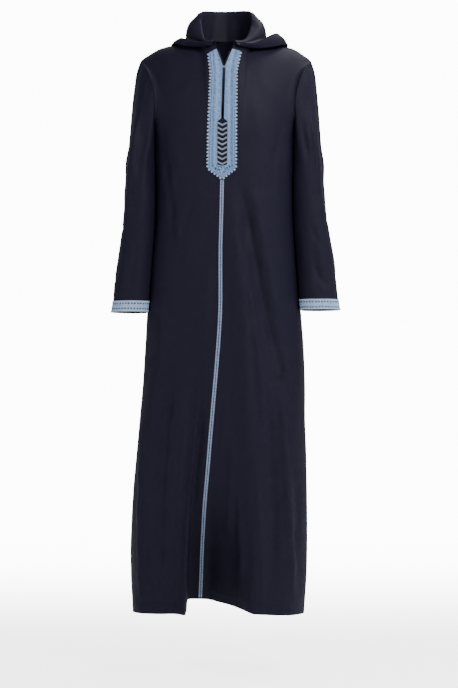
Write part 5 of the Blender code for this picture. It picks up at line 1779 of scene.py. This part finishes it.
def cloth_finish():
    material, tree, shader, flat = new_finish("navy twill", 0.6, 0.0, 0.45, 0.18)
    weave = placed_group(tree, TWILL, flat, Pitch=0.0011)
    place = object_place(tree)
    cloud = noise(tree, place, 7.0, 4.0)
    tone = calc(tree, "MULTIPLY_ADD", weave["Tone"], 0.6, calc(tree, "MULTIPLY", cloud, 0.4))
    colour = mixed(tree, tone, NAVY_DEEP, NAVY_LIGHT)
    hem, sewn = stored(tree, "hem"), stored(tree, "sewn")
    across = node(tree, "ShaderNodeSeparateXYZ", {0: flat}).outputs[0]
    dash = calc(tree, "SINE", calc(tree, "MULTIPLY", across, 2 * math.pi / STITCH_LENGTH))
    dash = ramped(tree, dash, -0.6, 0.0)
    stitch = calc(tree, "MULTIPLY", band_mask(tree, hem, HEM_STITCH, STITCH_HALF), dash)
    seam = ramped(tree, sewn, 0.0, SEAM_LINE, 1.0, 0.0)
    dark = calc(tree, "MAXIMUM", stitch, calc(tree, "MULTIPLY", seam, 0.8))
    tree.links.new(mixed(tree, dark, colour, STITCH_NAVY), shader["Base Color"])
    tree.links.new(ramped(tree, cloud, 0.3, 0.7, 0.54, 0.66), shader["Roughness"])
    near_hem = band_mask(tree, hem, HEM_STITCH, HEM_PUCKER)
    near = calc(tree, "MAXIMUM", ramped(tree, sewn, 0.0, SEAM_PUCKER, 1.0, 0.0), near_hem)
    pucker = calc(tree, "MULTIPLY", noise(tree, place, 130.0), near)
    groove = calc(tree, "SUBTRACT", pucker, calc(tree, "MAXIMUM", seam, stitch))
    normal = bumped(tree, noise(tree, place, 34.0, 3.0), 0.0014, 0.35)
    normal = bumped(tree, groove, 0.0007, 0.7, normal)
    normal = bumped(tree, weave["Height"], 0.00014, 0.55, normal)
    tree.links.new(normal, shader["Normal"])
    return material


navy_twill = cloth_finish()
for piece in cloth_pieces.values():
    piece.data.materials.append(navy_twill)
print("pieces in navy twill:", len(cloth_pieces))

# %% [markdown]
# ## Light blue needlework
#
# The ground is filled with short blue stitches that run across the band. Seen from near, it has
# stripes: paler beside the cords, and a darker stripe where a speckled filling stitch lets the navy
# show through, with a row of small eyelets near the lower corners.

# %% Finish the needlework ground
BLUE_PALE, BLUE_MIDDLE = (0.42, 0.65, 1.000, 1), (0.21, 0.4, 0.86, 1)
BLUE_DARK, BLUE_SHADE = (0.1, 0.19, 0.43, 1), (0.008, 0.012, 0.04, 1)
BLUE_GLINT = (0.62, 0.82, 1.000, 1)
STRIPES = (
    # place from the rim, half width, strength, colour
    (0.0032, 0.0009, 0.45, BLUE_DARK), (0.0098, 0.0026, 0.32, BLUE_DARK), (0.0155, 0.003, 0.4, BLUE_PALE),
    (0.0222, 0.003, 0.25, BLUE_DARK),
)
SPECKLED = (0.0098, 0.0034)   # the speckled stripe's place from the rim, and its half width
EYELETS = (-0.3085, 0.0115)   # level of the eyelets round the window's foot, and half their height
EYELET_NEAR = (0.015, 0.019)  # they thin out between these distances from the window
EYELET_CELLS, EYELET_RIM, EYELET_HEART = 190.0, 0.4, 0.26   # cells a metre, and shares of a cell


def needlework_finish():
    material, tree, shader, flat = new_finish("light blue needlework", 0.66, 0.05, 0.5, 0.22)
    rim, slit = stored(tree, "from_rim"), stored(tree, "from_slit")
    stitches = placed_group(tree, THREADS, flat, Pitch=0.0011, Slant=0.0, Uneven=1.2)["Height"]
    slanted = placed_group(tree, THREADS, flat, Pitch=0.0016, Slant=1.4, Uneven=0.8)["Height"]
    colour = mixed(tree, spotted(tree, flat, 210.0, 0.4, 0.6), BLUE_MIDDLE, BLUE_PALE)
    for middle, half, strength, stripe in STRIPES:
        share = calc(tree, "MULTIPLY", band_mask(tree, rim, middle, half), strength)
        colour = mixed(tree, share, colour, stripe)
    speckled = band_mask(tree, rim, *SPECKLED)
    flecks = calc(tree, "MULTIPLY", spotted(tree, flat, 230.0, 0.52, 0.6),
                  calc(tree, "MULTIPLY_ADD", speckled, 0.45, 0.5))
    colour = mixed(tree, flecks, colour, BLUE_DARK)
    place = object_place(tree)
    level = node(tree, "ShaderNodeSeparateXYZ", {0: place}).outputs[2]
    beside = ramped(tree, slit, *EYELET_NEAR, 1.0, 0.0)
    foot = calc(tree, "MULTIPLY", beside, band_mask(tree, level, *EYELETS))
    cells = node(tree, "ShaderNodeTexVoronoi", {"Vector": place, "Scale": EYELET_CELLS, "Randomness": 0.75})
    holes = ramped(tree, cells.outputs["Distance"], EYELET_HEART, EYELET_RIM, 1.0, 0.0)
    pierced = calc(tree, "MAXIMUM", foot, calc(tree, "MULTIPLY", speckled, 0.3))
    holes = calc(tree, "MULTIPLY", holes, pierced)
    glints = calc(tree, "MULTIPLY", spotted(tree, flat, 230.0, 0.54, 0.62), 0.85)
    colour = mixed(tree, glints, colour, BLUE_GLINT)
    # Painted shade: darker where the stitches lie low, in the grooves between them.
    tone = calc(tree, "MULTIPLY", calc(tree, "SUBTRACT", 1.0, stitches), 0.35)
    colour = mixed(tree, tone, colour, BLUE_DARK)
    tree.links.new(mixed(tree, holes, colour, BLUE_SHADE), shader["Base Color"])
    normal = bumped(tree, mixed(tree, speckled, stitches, slanted), 0.0004, 0.9)
    flush = calc(tree, "SUBTRACT", 1.0, calc(tree, "MAXIMUM", holes, flecks))
    tree.links.new(bumped(tree, flush, 0.0006, 0.7, normal), shader["Normal"])
    return material


needlework = needlework_finish()
ground.data.materials.append(needlework)
print("ground finished with", len(needlework.node_tree.nodes), "nodes")

# %% Finish cords, picots and bars
def cord_finish(name, deep, pale, pitch, slant, roughness=0.58, sheen=0.25):
    """Twisted thread: slanted strands, with painted shade in the grooves and a painted highlight on top."""
    material, tree, shader, flat = new_finish(name, roughness, sheen, 0.4, 0.38)
    strands = placed_group(tree, THREADS, flat, Pitch=pitch, Slant=slant, Uneven=0.3)["Height"]
    # Painted shade and highlight: the colour is deep in the strands' grooves and pale on their tops.
    colour = mixed(tree, ramped(tree, strands, 0.15, 0.75), deep, pale)
    cloud = noise(tree, object_place(tree), 90.0)
    colour = mixed(tree, calc(tree, "MULTIPLY", cloud, 0.35), colour, deep)
    tree.links.new(colour, shader["Base Color"])
    tree.links.new(bumped(tree, strands, 0.0003, 0.9), shader["Normal"])
    return material


pale_thread = cord_finish("pale blue thread", (0.17, 0.32, 0.64, 1), (0.5, 0.69, 0.96, 1), 0.0013, 1.2)
picot_thread = cord_finish("picot thread", (0.36, 0.53, 0.82, 1), (0.78, 0.88, 1.000, 1), 0.0011, 0.0)
silver_thread = cord_finish("silver grey thread", (0.19, 0.25, 0.36, 1), (0.53, 0.62, 0.76, 1), 0.0015,
                            0.9, 0.42, 0.1)
front_thread = cord_finish("front cord thread", (0.2, 0.28, 0.44, 1), (0.52, 0.64, 0.86, 1), 0.002,
                           1.1)
dark_thread = cord_finish("dark binding", (0.0045, 0.0055, 0.015, 1), (0.012, 0.015, 0.033, 1), 0.001,
                          0.6)
for piece, finish in ((cords, pale_thread), (picot_piece, picot_thread), (front_braid, front_thread),
                      (edging, dark_thread), (binding, dark_thread)):
    piece.data.materials.append(finish)
for piece in bars:
    piece.data.materials.append(silver_thread)
print("thread finishes:", 5)

# %% [markdown]
# ## The cuff bands' weave
#
# The band is paler than the panel. Between its two border cords it is woven in fine ribs, and two
# ladder lines of dark dashes run round it.

# %% Finish the cuff bands
CUFF_PALE, CUFF_MIDDLE = (0.68, 0.85, 1.000, 1), (0.38, 0.58, 1.000, 1)
CUFF_DARK = (0.02, 0.05, 0.16, 1)
BAND_DEEP = 0.0252
DASH_PITCH = 0.0074
# lower than its share of the band's depth, half width
BORDER_ROWS = ((0.0, 0.0024), (0.0018, 0.0026))
LADDER_ROWS = ((0.0004, 0.0021), (0.001, 0.0021))


def cuff_finish():
    material, tree, shader, flat = new_finish("pale woven band", 0.75, 0.0, 0.45, 0.08)
    around, down, _ = node(tree, "ShaderNodeSeparateXYZ", {0: flat}).outputs
    threads = placed_group(tree, THREADS, flat, Pitch=0.0012, Slant=0.0, Uneven=0.5)["Height"]
    cord = placed_group(tree, THREADS, flat, Pitch=0.0026, Slant=0.9, Uneven=0.2)["Height"]

    def lines(places, table):
        masks = [band_mask(tree, down, BAND_DEEP * share + lower, half)
                 for share, (lower, half) in zip(places, table)]
        return calc(tree, "MAXIMUM", *masks)

    border, ladder = lines(CORD_PLACES, BORDER_ROWS), lines(LADDER_PLACES, LADDER_ROWS)
    dash = calc(tree, "SINE", calc(tree, "MULTIPLY", around, 2 * math.pi / DASH_PITCH))
    grain = noise(tree, flat, 160.0)
    dash = calc(tree, "MULTIPLY_ADD", grain, 0.8, calc(tree, "SUBTRACT", dash, 0.5))
    dashes = calc(tree, "MULTIPLY", ladder, ramped(tree, dash, -0.3, 0.3, 0.1, 1.0))
    colour = mixed(tree, spotted(tree, flat, 210.0, 0.4, 0.54), CUFF_MIDDLE, CUFF_PALE)
    # Painted shade: darker where the threads lie low, in the grooves between them.
    tone = calc(tree, "MULTIPLY", calc(tree, "SUBTRACT", 1.0, threads), 0.3)
    colour = mixed(tree, tone, colour, CUFF_MIDDLE)
    # Painted highlight: the border cords are paler on their strands' tops.
    colour = mixed(tree, calc(tree, "MULTIPLY", border, cord), colour, CUFF_PALE)
    colour = mixed(tree, calc(tree, "MULTIPLY", dashes, 0.95), colour, CUFF_DARK)
    tree.links.new(colour, shader["Base Color"])
    normal = bumped(tree, mixed(tree, border, threads, cord), 0.00035, 0.9)
    normal = bumped(tree, calc(tree, "SUBTRACT", 1.0, dashes), 0.0005, 0.7, normal)
    tree.links.new(normal, shader["Normal"])
    return material


woven_band = cuff_finish()
for band in cuff_bands:
    band.data.materials.append(woven_band)
print("cuff bands finished:", len(cuff_bands))
